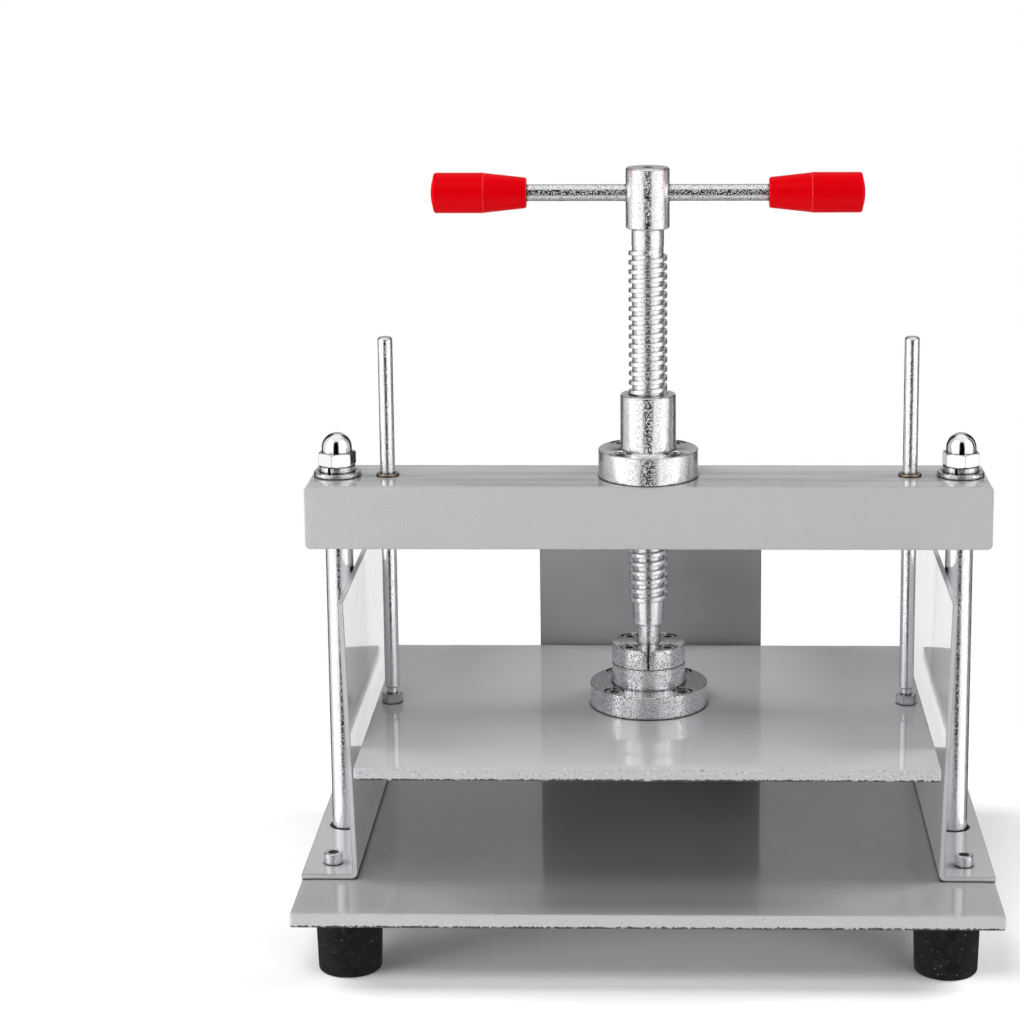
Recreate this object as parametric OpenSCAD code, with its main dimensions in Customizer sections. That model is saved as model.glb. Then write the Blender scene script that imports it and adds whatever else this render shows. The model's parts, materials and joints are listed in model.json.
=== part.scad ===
// Flat press with a hand screw: a heavy beam on two columns over a base plate,
// and a press plate that a square-thread screw drives down between two guide rods.
// Millimetres, +Z up. The origin is the middle of the base's outline, on the surface
// that the rubber feet stand on. The operator stands on the -Y side.

/* [Base plate and feet] */
// Width of the base plate, side to side
base_w = 366; // [330:1:420]
// Depth of the base plate, front to back
base_d = 270; // [262:1:330]
// Thickness of the base plate
base_t = 8; // [6:0.5:16]
// Height of a rubber foot
foot_h = 32; // [20:1:45]
// Diameter of a rubber foot at its top
foot_d = 35; // [26:1:44]
// Diameter of a rubber foot where it stands
foot_stand_d = 33; // [24:1:42]
// Distance of a foot's axis from the side and the end of the base plate
foot_inset = 27.5; // [23:0.5:40]

/* [Columns and beam] */
// Diameter of a column
column_d = 15; // [13:0.5:17]
// Distance of a column's axis from the side of the base plate
column_inset = 14.75; // [12.75:0.25:15.5]
// Clear height between the base plate and the beam
daylight = 167; // [155:1:240]
// Distance that each end of the beam reaches past the side of the base plate
beam_reach = 0.5; // [-2:0.5:20]
// Depth of the beam, front to back
beam_d = 52; // [48:1:80]
// Height of the beam
beam_h = 35; // [28:1:60]
// Radius of the beam's long corners at its ends
beam_r = 3; // [1:0.5:6]
// Thread diameter of the studs on top of the columns
stud_d = 12; // [10:0.5:12]
// Diameter of the flat washer under an acorn nut
washer_d = 25.5; // [22:0.5:28]
// Thickness of the flat washer
washer_t = 2.6; // [1.5:0.1:4]
// Diameter of the spring washer
spring_washer_d = 19.5; // [18:0.5:21]
// Thickness of the spring washer
spring_washer_t = 3.2; // [2:0.1:5]
// Width across the flats of an acorn nut
acorn_af = 18; // [17:0.5:20]
// Height of an acorn nut's hexagon
acorn_hex_h = 7.5; // [6:0.5:10]
// Diameter of an acorn nut's dome
acorn_dome_d = 16.5; // [15:0.5:18]
// Height of the straight part under an acorn nut's dome
acorn_neck_h = 2.2; // [1:0.1:4]

/* [Press plate] */
// Distance between the side of the press plate and the side of the base plate
plate_inset = 33; // [33:0.5:45]
// Distance of the press plate's front edge from the front of the base plate
plate_front = 12; // [4:1:30]
// Distance of the press plate's back edge from the back of the base plate
plate_back = 38; // [37:1:60]
// Thickness of the press plate
plate_t = 7; // [6:0.5:14]
// Gap under the press plate as the press stands
rest_gap = 67; // [40:1:80]
// Diameter of a guide rod
rod_d = 8; // [7:0.5:10]
// Distance of a guide rod's axis from the side of the press plate
rod_inset = 9; // [8:0.5:30]
// Height of the guide rods above the beam
rod_rise = 76; // [72:1:110]
// Thread diameter at the foot of a guide rod
rod_foot_d = 6; // [5:0.5:6.5]
// Width across the flats of a guide rod's lock nut
lock_nut_af = 10; // [9:0.5:12]
// Height of a guide rod's lock nut
lock_nut_h = 5.5; // [3:0.5:8]
// Bare thread showing above a lock nut
lock_nut_show = 3.3; // [1:0.1:6]
// Wall of a guide bush
bush_wall = 1; // [0.8:0.1:2]
// Diameter of a guide bush's flange
bush_flange_d = 12.4; // [12:0.1:16]
// Thickness of a guide bush's flange
bush_flange_t = 1.4; // [1:0.1:3]

/* [Paper guides] */
// Sheet thickness of the paper guides
sheet_t = 2.8; // [1.5:0.1:3]
// Outside radius of a guide's bend
bend_r = 4; // [3.5:0.5:6]
// Height of the guides above the base plate
guide_h = 151.5; // [90:0.5:152]
// Gap between the press plate's edges and the guides
guide_gap = 3; // [2:0.5:4]
// Outward lean of the side guides, in degrees
guide_lean = 1.7; // [0:0.1:1.8]
// Distance of a side guide's back end from the back of the base
side_guide_back = 5; // [0:1:30]
// Distance of a side guide's front end from the front of the base
side_guide_front = 47; // [35:1:52]
// Width of the back guide
back_guide_w = 130; // [80:1:200]
// Length of the back guide's foot
back_guide_foot = 30; // [24:1:32]
// Distance of a guide screw from the end of its guide
guide_screw_inset = 17; // [12:1:30]
// Distance of a guide screw from the side of the base plate
guide_screw_side = 15; // [11:0.5:17]
// Gap round a column where it passes through a side guide's foot
column_gap = 1.5; // [1:0.1:2]

/* [Screw and nut] */
// Outside diameter of the screw thread
screw_d = 20.8; // [19:0.1:22]
// Core diameter of the screw thread
core_d = 17; // [14:0.1:17.5]
// Pitch of the thread
pitch = 5; // [4:0.5:6]
// Axial width of the thread's crest
crest_w = 2.3; // [1.6:0.1:2.4]
// Axial width of each thread flank
flank_w = 0.3; // [0.2:0.1:0.4]
// Number of turns of thread on the screw
thread_turns = 40; // [38:1:44]
// Height of the screw's lower thread end above the press plate at rest
thread_end_h = 53; // [50:1:56]
// Gap between the thread and the nut's thread
thread_gap = 0.25; // [0.2:0.05:0.3]
// Diameter of the nut's flange
nut_flange_d = 54; // [53:1:60]
// Thickness of the nut's flange
nut_flange_t = 15; // [10:1:20]
// Diameter of the nut's sleeve
nut_sleeve_d = 30; // [28:0.5:30]
// Height of the nut's sleeve above its flange
nut_sleeve_h = 30; // [15:1:34]
// Pitch circle of the nut's screws
nut_screw_pcd = 42; // [41.5:0.5:42]

/* [Socket under the screw] */
// Diameter of the socket's flange on the press plate
socket_flange_d = 64; // [63:1:80]
// Thickness of the socket's flange
socket_flange_t = 12.5; // [10:0.5:14]
// Diameter of the socket's boss and of the split collar
collar_d = 40; // [39.5:0.5:40]
// Height of the socket's boss above its flange
boss_h = 11.5; // [9:0.5:13]
// Height of the split collar
collar_h = 11; // [9:0.5:13]
// Width of the split between the collar halves
collar_split = 0.8; // [0.4:0.1:1.5]
// Pitch circle of the collar's screws
collar_screw_pcd = 29.5; // [28.5:0.5:30]
// Pitch circle of the flange's screws
socket_screw_pcd = 52; // [51.5:0.5:52]
// Diameter of the screw's neck in the collar
neck_d = 12; // [10:0.5:12.5]
// Diameter of the stub under the thread
stub_d = 16.5; // [14:0.5:16.5]
// Height of the stub under the thread
stub_h = 7.5; // [4:0.5:9]
// Diameter of the head that the socket holds
head_d = 18; // [16:0.5:18.5]
// Height of the head that the socket holds
head_h = 6; // [4:0.5:7]
// Thickness of the bronze thrust pad under the head
pad_t = 3; // [2:0.5:4]

/* [Handle] */
// Diameter of the hub
hub_d = 23.5; // [22:0.5:30]
// Height of the hub
hub_h = 32.5; // [30:0.5:40]
// Height of the screw's plain neck under the hub
hub_neck_h = 9; // [6:0.5:14]
// Distance of the bar's axis under the hub's top
bar_drop = 13.5; // [12:0.5:15]
// Diameter of the spigot that the hub is screwed on
spigot_d = 12; // [10:0.5:14]
// Diameter of the cross bar
bar_d = 9; // [7:0.5:11]
// Length of the cross bar
bar_l = 208; // [196:1:214]
// Overall length of the handle over both grips
handle_l = 230; // [226:1:260]
// Length of a grip without its domed end
grip_l = 49; // [44:1:54]
// Length of a grip's tapered half
grip_taper_l = 22.5; // [18:0.5:26]
// Diameter of a grip's thick half
grip_d = 21.5; // [18:0.5:26]
// Diameter of a grip's thin end
grip_thin_d = 16.2; // [14:0.2:18]
// Height of a grip's domed end
grip_dome_h = 1.8; // [1:0.1:4]
// Diameter of the hub's set screw
set_screw_d = 5; // [4:0.5:6]

/* [Screws and fits] */
// Thread diameter of the cap screws in the guides, the nut and the socket's flange
cap_d = 6; // [5:0.5:6]
// Head diameter of those cap screws
cap_head_d = 10; // [9:0.5:10]
// Thread diameter of the collar's cap screws
collar_cap_d = 5; // [4:0.5:5]
// Head diameter of the collar's cap screws
collar_cap_head_d = 8.5; // [7.5:0.5:8.5]
// Thread diameter of the bolts under the columns
column_bolt_d = 10; // [8:0.5:10]
// Radial gap of a screw in its hole
screw_play = 0.1; // [0.05:0.05:0.2]
// Radial gap of a screw's head in its recess
head_play = 0.3; // [0.2:0.05:0.35]
// Radial gap of a running fit
running_gap = 0.05; // [0.03:0.01:0.08]
// Radial gap of a seated fit
seat_gap = 0.05; // [0.02:0.01:0.08]

/* [Hidden] */
$fn = 64;

// Small sizes that repeat
fine_edge = 0.3;
edge = 0.4;
soft_edge = 0.7;
point = 1;
over = 1;
hole_spare = 0.5;
plate_corner_r = 1.5;
foot_round = 1;
bend_steps = 6;
washer_play = 0.5;
spring_cut_w = 1.4;
spring_cut_turn = -110;
acorn_turn_left = 20;
acorn_turn_right = 37;
lock_nut_turn = 10;
bush_d = rod_d + 2 * bush_wall;
grip_edge = 1.2;
dome_steps = 5;
turn_steps = 20;
nut_lead = 1;
spigot_short = 1;

// Plain length at each end of the thread
thread_lead = 0.2;

// Levels, from the surface that the press stands on
base_bottom = foot_h;
base_top = base_bottom + base_t;
plate_bottom = base_top + rest_gap;
plate_top = plate_bottom + plate_t;
beam_bottom = base_top + daylight;
beam_top = beam_bottom + beam_h;
nut_flange_top = beam_top + nut_flange_t;
nut_top = nut_flange_top + nut_sleeve_h;
socket_flange_top = plate_top + socket_flange_t;
boss_top = socket_flange_top + boss_h;
collar_top = boss_top + collar_h;
thread_bottom = plate_top + thread_end_h;
thread_top = thread_bottom + thread_turns * pitch + 2 * thread_lead;
hub_bottom = thread_top + hub_neck_h;
hub_top = hub_bottom + hub_h;
bar_z = hub_top - bar_drop;
rod_top = beam_top + rod_rise;
rod_shoulder = plate_top + lock_nut_h + lock_nut_show;

// Places in plan
plate_d = base_d - plate_front - plate_back;
axis_y = (plate_front - plate_back) / 2;
column_x = base_w / 2 - column_inset;
beam_w = base_w + 2 * beam_reach;
plate_w = base_w - 2 * plate_inset;
rod_x = plate_w / 2 - rod_inset;
guide_x = plate_w / 2 + guide_gap;
guide_foot_w = base_w / 2 - guide_x;
back_guide_y = axis_y + plate_d / 2 + guide_gap;
side_guide_l = base_d - side_guide_front - side_guide_back;
side_guide_y0 = -base_d / 2 + side_guide_front;
guide_screw_x = base_w / 2 - guide_screw_side;
back_screw_x = back_guide_w / 2 - guide_screw_inset;
back_screw_y = back_guide_y + back_guide_foot / 2;

// Socket and screw end
head_float = 0.2;
bore_play = 0.5;
pad_play = 0.1;
socket_bore_d = head_d + 2 * bore_play;
head_top = boss_top - head_float;
head_bottom = head_top - head_h;
pad_bottom = head_bottom - pad_t;
stub_bottom = thread_bottom - stub_h;

// Cap screws: the head is as high as the thread is thick
cap_socket_af = 0.83 * cap_d;
collar_cap_socket_af = 0.8 * collar_cap_d;
screw_floor = 1.5;
guide_screw_grip = base_t - screw_floor;
nut_screw_grip = 20;
nut_screw_hole = nut_screw_grip + 2;
recess_sink = 0.5;
collar_screw_grip = 7;
collar_screw_hole = collar_screw_grip + 1;

// Column bolts and studs
column_hole_l = 26;
column_bolt_grip = 22;
column_bolt_af = 1.7 * column_bolt_d;
column_bolt_head_h = 0.64 * column_bolt_d;
bolt_washer_d = 2.1 * column_bolt_d;
bolt_washer_t = 2;
stud_in_nut = 12;
acorn_bore = stud_in_nut + 1;

// Foot screws and the recess that hides them
foot_screw_d = 6;
foot_screw_head_d = 12;
foot_socket_af = 4.8;
foot_recess_d = 16;
foot_recess_h = 14;
foot_screw_grip = base_t - screw_floor - hole_spare;

// Hub
spigot_end_wall = 1.5;
spigot_l = hub_h - bar_drop - bar_d / 2 - spigot_end_wall;
hub_bore_l = spigot_l + hole_spare;
hub_chamfer = 0.8;
hub_neck_d = core_d + edge;
set_screw_sink = 0.6;

function hex_r(af) = af / 2 / cos(30);

// Rectangle with round corners, centred
module round_rect(w, h, r) {
    square([w - 2 * r, h], center = true);
    square([w, h - 2 * r], center = true);
    for (x = [-1, 1], y = [-1, 1])
        translate([x * (w / 2 - r), y * (h / 2 - r)]) circle(r);
}

// Round bar standing on z = 0 with small chamfers at its ends
module chamfered_bar(d, h, bottom = edge, top = edge) {
    rotate_extrude()
        polygon([[0, 0], [d / 2 - bottom, 0], [d / 2, bottom],
                 [d / 2, h - top], [d / 2 - top, h], [0, h]]);
}

// Cap screw with a hexagon socket: its head stands on z = 0 and its thread hangs down
module cap_screw(d, head_d, grip, socket_af) {
    difference() {
        union() {
            chamfered_bar(head_d, d, bottom = fine_edge, top = edge);
            translate([0, 0, -grip]) chamfered_bar(d, grip + fine_edge, bottom = soft_edge, top = 0);
        }
        translate([0, 0, d / 2]) cylinder(r = hex_r(socket_af), h = d, $fn = 6);
    }
}

// Hexagon with its corners turned off at the faces that ask for it
module hexagon(af, h, turned_top = true, turned_bottom = true) {
    c = hex_r(af);
    slope = 0.5 * (c - af / 2);
    intersection() {
        cylinder(r = c, h = h, $fn = 6);
        rotate_extrude()
            polygon([[0, 0], [turned_bottom ? af / 2 : c, 0],
                     [c + 0.01, turned_bottom ? slope : 0],
                     [c + 0.01, h - (turned_top ? slope : 0)],
                     [turned_top ? af / 2 : c, h], [0, h]]);
    }
}

// Four places on a circle about the press axis, at 45 degrees
module at_four(pcd, z) {
    for (a = [45:90:315])
        translate([pcd / 2 * cos(a), axis_y + pcd / 2 * sin(a), z]) children();
}

// Both sides of the press at one distance from its axis
module both_sides(x, y, z) {
    for (s = [-1, 1]) translate([s * x, y, z]) children();
}

// Bar with a right-hand thread: a strip of thread profile wound up about Z, closed by a
// round wall and a disc at each end. Step i of the strip has four points, the lower and
// upper edge of the root and then of the crest. Grow makes the bar that cuts a nut.
module threaded_bar(z_low, turns, lead, grow = 0) {
    n = turn_steps;
    steps = (turns - 1) * n;
    core_r = core_d / 2 + grow;
    depth = (screw_d - core_d) / 2;
    root_w = pitch - crest_w - 2 * flank_w - 2 * grow;
    function at(r, z, i) = [r * cos(360 * i / n), r * sin(360 * i / n),
                            z_low + lead + z + pitch * i / n];
    function rise(i) =
        grow > 0 ? 1 : max(0.15, min(1, 2 * i / n, 2 * (steps - i) / n));
    function disc(z) = [for (i = [0:n - 1])
        [core_r * cos(360 * i / n), core_r * sin(360 * i / n), z]];
    strip = [for (i = [0:steps])
        each [at(core_r, 0, i),
              at(core_r, root_w, i),
              at(core_r + depth * rise(i), root_w + flank_w, i),
              at(core_r + depth * rise(i), pitch - flank_w, i)]];
    upper_edge = [for (i = [steps + 1:steps + n]) at(core_r, 0, i)];
    low = 4 * (steps + 1) + n;
    high = low + n;
    // Point k of step i, where point 4 is the root's lower edge one turn on
    function p(i, k = 0) = k == 4 ? p(i + n) :
        i <= steps ? 4 * i + k : 4 * (steps + 1) + i - steps - 1;
    function quad(a, b, c, d) = [[a, b, c], [a, c, d]];
    wound = [for (i = [0:steps - 1], k = [0:3])
        each quad(p(i, k), p(i, k + 1), p(i + 1, k + 1), p(i + 1, k))];
    low_wall = [for (i = [0:n - 2]) each quad(low + i, p(i), p(i + 1), low + i + 1)];
    low_seam = [[p(n - 1), p(n), p(0, 1)], [p(n - 1), p(0, 1), p(0)],
                [low + n - 1, p(n - 1), p(0)], [low + n - 1, p(0), low]];
    high_wall = [for (i = [1:n - 2])
        each quad(p(steps + i), high + i, high + i + 1, p(steps + i + 1))];
    high_seam = [[p(steps), p(steps, 1), p(steps + 1)],
                 [p(steps, 1), p(steps + n), p(steps + 1)],
                 [p(steps + n), high, p(steps + 1)],
                 [high, high + 1, p(steps + 1)],
                 [p(steps + n - 1), high + n - 1, high],
                 [p(steps + n - 1), high, p(steps + n)]];
    ends = concat(quad(p(0, 1), p(0, 4), p(0, 3), p(0, 2)),
                  quad(p(steps, 1), p(steps, 2), p(steps, 3), p(steps, 4)),
                  [[for (i = [0:n - 1]) low + i]],
                  [[for (i = [0:n - 1]) high + n - 1 - i]]);
    polyhedron(concat(strip, upper_edge, disc(z_low),
                      disc(z_low + 2 * lead + turns * pitch)),
               concat(wound, low_wall, low_seam, high_wall, high_seam, ends));
}

module base_plate() {
    color("#b9bbbd") difference() {
        translate([0, 0, base_bottom])
            linear_extrude(base_t) round_rect(base_w, base_d, plate_corner_r);
        both_sides(column_x, axis_y, base_bottom - over)
            cylinder(d = column_bolt_d + 2 * screw_play, h = base_t + 2 * over);
        at_guide_screws(base_top - guide_screw_grip)
            cylinder(d = cap_d + 2 * screw_play, h = guide_screw_grip + over);
        at_back_screws(base_top - guide_screw_grip)
            cylinder(d = cap_d + 2 * screw_play, h = guide_screw_grip + over);
        for (s = [-1, 1], t = [-1, 1])
            at_foot(s, t, base_bottom - over)
                cylinder(d = foot_screw_d + 2 * screw_play, h = foot_screw_grip + hole_spare + over);
    }
}

// Place of one foot: s is -1 on the left and 1 on the right, t is -1 at the front
module at_foot(s, t, z) {
    translate([s * (base_w / 2 - foot_inset), t * (base_d / 2 - foot_inset), z]) children();
}

module at_guide_screws(z) {
    for (s = [-1, 1], y = [guide_screw_inset, side_guide_l - guide_screw_inset])
        translate([s * guide_screw_x, side_guide_y0 + y, z]) children();
}

module at_back_screws(z) {
    both_sides(back_screw_x, back_screw_y, z) children();
}

// Tapered rubber foot with a recess for its screw
module rubber_foot(s, t) {
    color("#1b1b1c") at_foot(s, t, 0) difference() {
        rotate_extrude()
            polygon([[0, 0], [foot_stand_d / 2 - foot_round, 0],
                     [foot_stand_d / 2, foot_round],
                     [foot_d / 2, foot_h - foot_round], [foot_d / 2 - foot_round, foot_h],
                     [0, foot_h]]);
        translate([0, 0, -over]) cylinder(d = foot_recess_d, h = foot_recess_h + over);
        cylinder(d = foot_screw_d + 2 * screw_play, h = foot_h + over);
    }
}
module rubber_foot_front_left() rubber_foot(-1, -1);
module rubber_foot_front_right() rubber_foot(1, -1);
module rubber_foot_rear_left() rubber_foot(-1, 1);
module rubber_foot_rear_right() rubber_foot(1, 1);

module foot_screws() {
    color("#a8a8aa") for (s = [-1, 1], t = [-1, 1])
        at_foot(s, t, foot_recess_h) rotate([180, 0, 0])
            cap_screw(foot_screw_d, foot_screw_head_d,
                      foot_h - foot_recess_h + foot_screw_grip, foot_socket_af);
}

// Outline of a bent sheet: a foot that runs to x = foot_w and a web that leans out
// by an angle, whose face meets the plane under the foot at x = 0
module bent_sheet(foot_w, h, lean) {
    inner_r = bend_r - sheet_t;
    cx = bend_r * (cos(lean) + tan(lean) * (1 + sin(lean)));
    web_l = (h - bend_r * (1 + sin(lean))) / cos(lean);
    function bend(r, a) = [cx + r * cos(a), bend_r + r * sin(a)];
    function web_end(r) = bend(r, 180 - lean) + web_l * [sin(lean), cos(lean)];
    sweep = 90 + lean;
    polygon(concat([[foot_w, 0]],
                   [for (i = [0:bend_steps]) bend(bend_r, 270 - sweep * i / bend_steps)],
                   [web_end(bend_r), web_end(inner_r)],
                   [for (i = [bend_steps:-1:0]) bend(inner_r, 270 - sweep * i / bend_steps)],
                   [[foot_w, sheet_t]]));
}

module side_guide(s) {
    color("#d9dadc") difference() {
        translate([s * guide_x, side_guide_y0 + side_guide_l, base_top])
            rotate([90, 0, 0]) linear_extrude(side_guide_l)
                mirror([s < 0 ? 1 : 0, 0]) bent_sheet(guide_foot_w, guide_h, guide_lean);
        translate([s * column_x, axis_y, base_top - over])
            cylinder(d = column_d + 2 * column_gap, h = sheet_t + 2 * over);
        at_guide_screws(base_top - over)
            cylinder(d = cap_d + 4 * screw_play, h = sheet_t + 2 * over);
    }
}
module side_guide_left() side_guide(-1);
module side_guide_right() side_guide(1);

module back_guide() {
    color("#d9dadc") difference() {
        translate([-back_guide_w / 2, back_guide_y, base_top])
            rotate([90, 0, 90]) linear_extrude(back_guide_w)
                bent_sheet(back_guide_foot, guide_h, 0);
        at_back_screws(base_top - over)
            cylinder(d = cap_d + 4 * screw_play, h = sheet_t + 2 * over);
    }
}

module guide_cap_screw() {
    cap_screw(cap_d, cap_head_d, sheet_t + guide_screw_grip - hole_spare, cap_socket_af);
}
module side_guide_screws() {
    color("#8f9092") at_guide_screws(base_top + sheet_t) guide_cap_screw();
}
module back_guide_screws() {
    color("#8f9092") at_back_screws(base_top + sheet_t) guide_cap_screw();
}

// Column: a round bar with a threaded stud on top and a tapped hole in its foot
module column(s) {
    color("#c4c6c8") translate([s * column_x, axis_y, 0]) difference() {
        union() {
            translate([0, 0, base_top])
                chamfered_bar(column_d, daylight, bottom = edge, top = edge);
            translate([0, 0, beam_bottom - edge])
                chamfered_bar(stud_d, edge + beam_h + washer_t + spring_washer_t + stud_in_nut,
                              bottom = 0, top = point);
        }
        translate([0, 0, base_top - over])
            cylinder(d = column_bolt_d + 2 * screw_play, h = column_hole_l + over);
    }
}
module column_left() column(-1);
module column_right() column(1);

module column_bolts() {
    color("#8f9092") both_sides(column_x, axis_y, base_bottom) difference() {
        union() {
            translate([0, 0, -bolt_washer_t]) cylinder(d = bolt_washer_d, h = bolt_washer_t);
            translate([0, 0, -bolt_washer_t - column_bolt_head_h])
                hexagon(column_bolt_af, column_bolt_head_h, turned_top = false);
            translate([0, 0, -edge])
                chamfered_bar(column_bolt_d, edge + base_t + column_bolt_grip,
                              bottom = 0, top = point);
        }
    }
}

module beam() {
    color("#b4b6b8") difference() {
        translate([0, axis_y + beam_d / 2, beam_bottom + beam_h / 2])
            rotate([90, 0, 0]) linear_extrude(beam_d) round_rect(beam_w, beam_h, beam_r);
        translate([0, axis_y, beam_bottom - over])
            cylinder(d = nut_sleeve_d + 2 * seat_gap, h = beam_h + 2 * over);
        both_sides(column_x, axis_y, beam_bottom - over)
            cylinder(d = stud_d + 2 * screw_play, h = beam_h + 2 * over);
        both_sides(rod_x, axis_y, beam_bottom - over)
            cylinder(d = bush_d + 2 * seat_gap, h = beam_h + 2 * over);
        at_four(nut_screw_pcd, beam_top - nut_screw_hole)
            cylinder(d = cap_d + 2 * screw_play, h = nut_screw_hole + over);
    }
}

module guide_bush(s) {
    color("#b07a45") translate([s * rod_x, axis_y, 0]) difference() {
        union() {
            translate([0, 0, beam_bottom]) chamfered_bar(bush_d, beam_h + edge, top = 0);
            translate([0, 0, beam_top])
                chamfered_bar(bush_flange_d, bush_flange_t, bottom = 0);
        }
        translate([0, 0, beam_bottom - over])
            cylinder(d = rod_d + 2 * running_gap, h = beam_h + bush_flange_t + 2 * over);
    }
}
module guide_bush_left() guide_bush(-1);
module guide_bush_right() guide_bush(1);

module flat_washers() {
    color("#c9cbcd") both_sides(column_x, axis_y, beam_top) difference() {
        chamfered_bar(washer_d, washer_t, bottom = fine_edge, top = fine_edge);
        translate([0, 0, -over])
            cylinder(d = stud_d + 2 * washer_play, h = washer_t + 2 * over);
    }
}

// Split spring washers, each with its cut turned a little to the front
module spring_washers() {
    color("#b9bbbd") both_sides(column_x, axis_y, beam_top + washer_t) difference() {
        cylinder(d = spring_washer_d, h = spring_washer_t);
        translate([0, 0, -over])
            cylinder(d = stud_d + 2 * washer_play, h = spring_washer_t + 2 * over);
        rotate([0, 0, spring_cut_turn]) translate([0, -spring_cut_w / 2, -over])
            cube([spring_washer_d, spring_cut_w, spring_washer_t + 2 * over]);
    }
}

// Domed nut with a blind bore; turned is the angle of its flats
module acorn_nut(s, turned) {
    neck_top = acorn_hex_h + acorn_neck_h;
    color("#cfd1d3")
        translate([s * column_x, axis_y, beam_top + washer_t + spring_washer_t])
            difference() {
                union() {
                    rotate([0, 0, turned]) hexagon(acorn_af, acorn_hex_h);
                    cylinder(d = acorn_dome_d, h = neck_top);
                    intersection() {
                        translate([0, 0, neck_top]) sphere(d = acorn_dome_d);
                        translate([0, 0, neck_top]) cylinder(d = acorn_dome_d + over, h = acorn_dome_d);
                    }
                }
                translate([0, 0, -over]) cylinder(d = stud_d + 2 * screw_play, h = acorn_bore + over);
            }
}
module acorn_nut_left() acorn_nut(-1, acorn_turn_left);
module acorn_nut_right() acorn_nut(1, acorn_turn_right);

// Flanged nut: a sleeve above the beam, a spigot through it and a thread all the way
module screw_nut() {
    spigot_bottom = beam_bottom + spigot_short;
    screw_thread_z = thread_bottom + thread_lead;
    turns_below = floor((spigot_bottom - screw_thread_z) / pitch) - 1;
    cut_z = screw_thread_z + turns_below * pitch + thread_gap - nut_lead;
    cut_turns = ceil((nut_top - cut_z) / pitch) + 1;
    color("#aeb0b2") difference() {
        translate([0, axis_y, 0]) union() {
            translate([0, 0, spigot_bottom])
                chamfered_bar(nut_sleeve_d, nut_top - spigot_bottom, bottom = point, top = soft_edge);
            translate([0, 0, beam_top])
                chamfered_bar(nut_flange_d, nut_flange_t, bottom = fine_edge);
        }
        translate([0, axis_y, 0])
            threaded_bar(cut_z, cut_turns, nut_lead, grow = thread_gap);
        recessed_holes(nut_screw_pcd, nut_flange_top, nut_flange_t, cap_d, cap_head_d);
    }
}

// Four screw holes through a flange, with recesses that sink the screws' heads
module recessed_holes(pcd, z_top, flange_t, d, head_d) {
    at_four(pcd, z_top) {
        translate([0, 0, -flange_t - over])
            cylinder(d = d + 2 * screw_play, h = flange_t + 2 * over);
        translate([0, 0, -d - recess_sink])
            cylinder(d = head_d + 2 * head_play, h = d + recess_sink + over);
    }
}

module nut_screws() {
    grip = nut_flange_t - cap_d - recess_sink + nut_screw_grip;
    color("#8f9092") at_four(nut_screw_pcd, nut_flange_top - cap_d - recess_sink)
        cap_screw(cap_d, cap_head_d, grip, cap_socket_af);
}

module press_plate() {
    color("#b4b6b8") difference() {
        translate([0, axis_y, plate_bottom])
            linear_extrude(plate_t) round_rect(plate_w, plate_d, plate_corner_r);
        both_sides(rod_x, axis_y, plate_bottom - over)
            cylinder(d = rod_foot_d + 2 * screw_play, h = plate_t + 2 * over);
        at_four(socket_screw_pcd, plate_bottom - over)
            cylinder(d = cap_d + 2 * screw_play, h = plate_t + 2 * over);
    }
}

// Flange with a boss, bored for the thrust pad and the screw's head
module socket_flange() {
    color("#b3b5b7") difference() {
        translate([0, axis_y, plate_top]) union() {
            chamfered_bar(socket_flange_d, socket_flange_t, bottom = fine_edge);
            chamfered_bar(collar_d, socket_flange_t + boss_h, bottom = fine_edge);
        }
        translate([0, axis_y, pad_bottom])
            cylinder(d = socket_bore_d, h = boss_top - pad_bottom + over);
        recessed_holes(socket_screw_pcd, socket_flange_top, socket_flange_t,
                       cap_d, cap_head_d);
        at_four(collar_screw_pcd, boss_top - collar_screw_hole)
            cylinder(d = collar_cap_d + 2 * screw_play, h = collar_screw_hole + over);
    }
}

module socket_screws() {
    grip = socket_flange_t - cap_d - recess_sink + plate_t - hole_spare;
    color("#8f9092") at_four(socket_screw_pcd, socket_flange_top - cap_d - recess_sink)
        cap_screw(cap_d, cap_head_d, grip, cap_socket_af);
}

module thrust_pad() {
    color("#a8753f") translate([0, axis_y, pad_bottom])
        chamfered_bar(socket_bore_d - 2 * pad_play, pad_t);
}

// Half of the split collar that keeps the screw's head in its socket
module collar_half(s) {
    color("#b3b5b7") difference() {
        translate([0, axis_y, boss_top]) chamfered_bar(collar_d, collar_h);
        translate([0, axis_y, boss_top - over])
            cylinder(d = neck_d + 2 * running_gap, h = collar_h + 2 * over);
        translate([s > 0 ? -collar_d : -collar_split / 2, axis_y - collar_d, boss_top - over])
            cube([collar_d + collar_split / 2, 2 * collar_d, collar_h + 2 * over]);
        recessed_holes(collar_screw_pcd, collar_top, collar_h, collar_cap_d, collar_cap_head_d);
    }
}
module collar_half_left() collar_half(-1);
module collar_half_right() collar_half(1);

module collar_screws() {
    grip = collar_h - collar_cap_d - recess_sink + collar_screw_grip;
    color("#8f9092") at_four(collar_screw_pcd, collar_top - collar_cap_d - recess_sink)
        cap_screw(collar_cap_d, collar_cap_head_d, grip, collar_cap_socket_af);
}

// Guide rod: a slim threaded foot in the press plate and a round bar above it
module guide_rod(s) {
    color("#c4c6c8") translate([s * rod_x, axis_y, 0]) union() {
        translate([0, 0, plate_bottom])
            chamfered_bar(rod_foot_d, rod_shoulder - plate_bottom + edge, top = 0);
        translate([0, 0, rod_shoulder])
            chamfered_bar(rod_d, rod_top - rod_shoulder, bottom = soft_edge, top = point);
    }
}
module guide_rod_left() guide_rod(-1);
module guide_rod_right() guide_rod(1);

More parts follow.
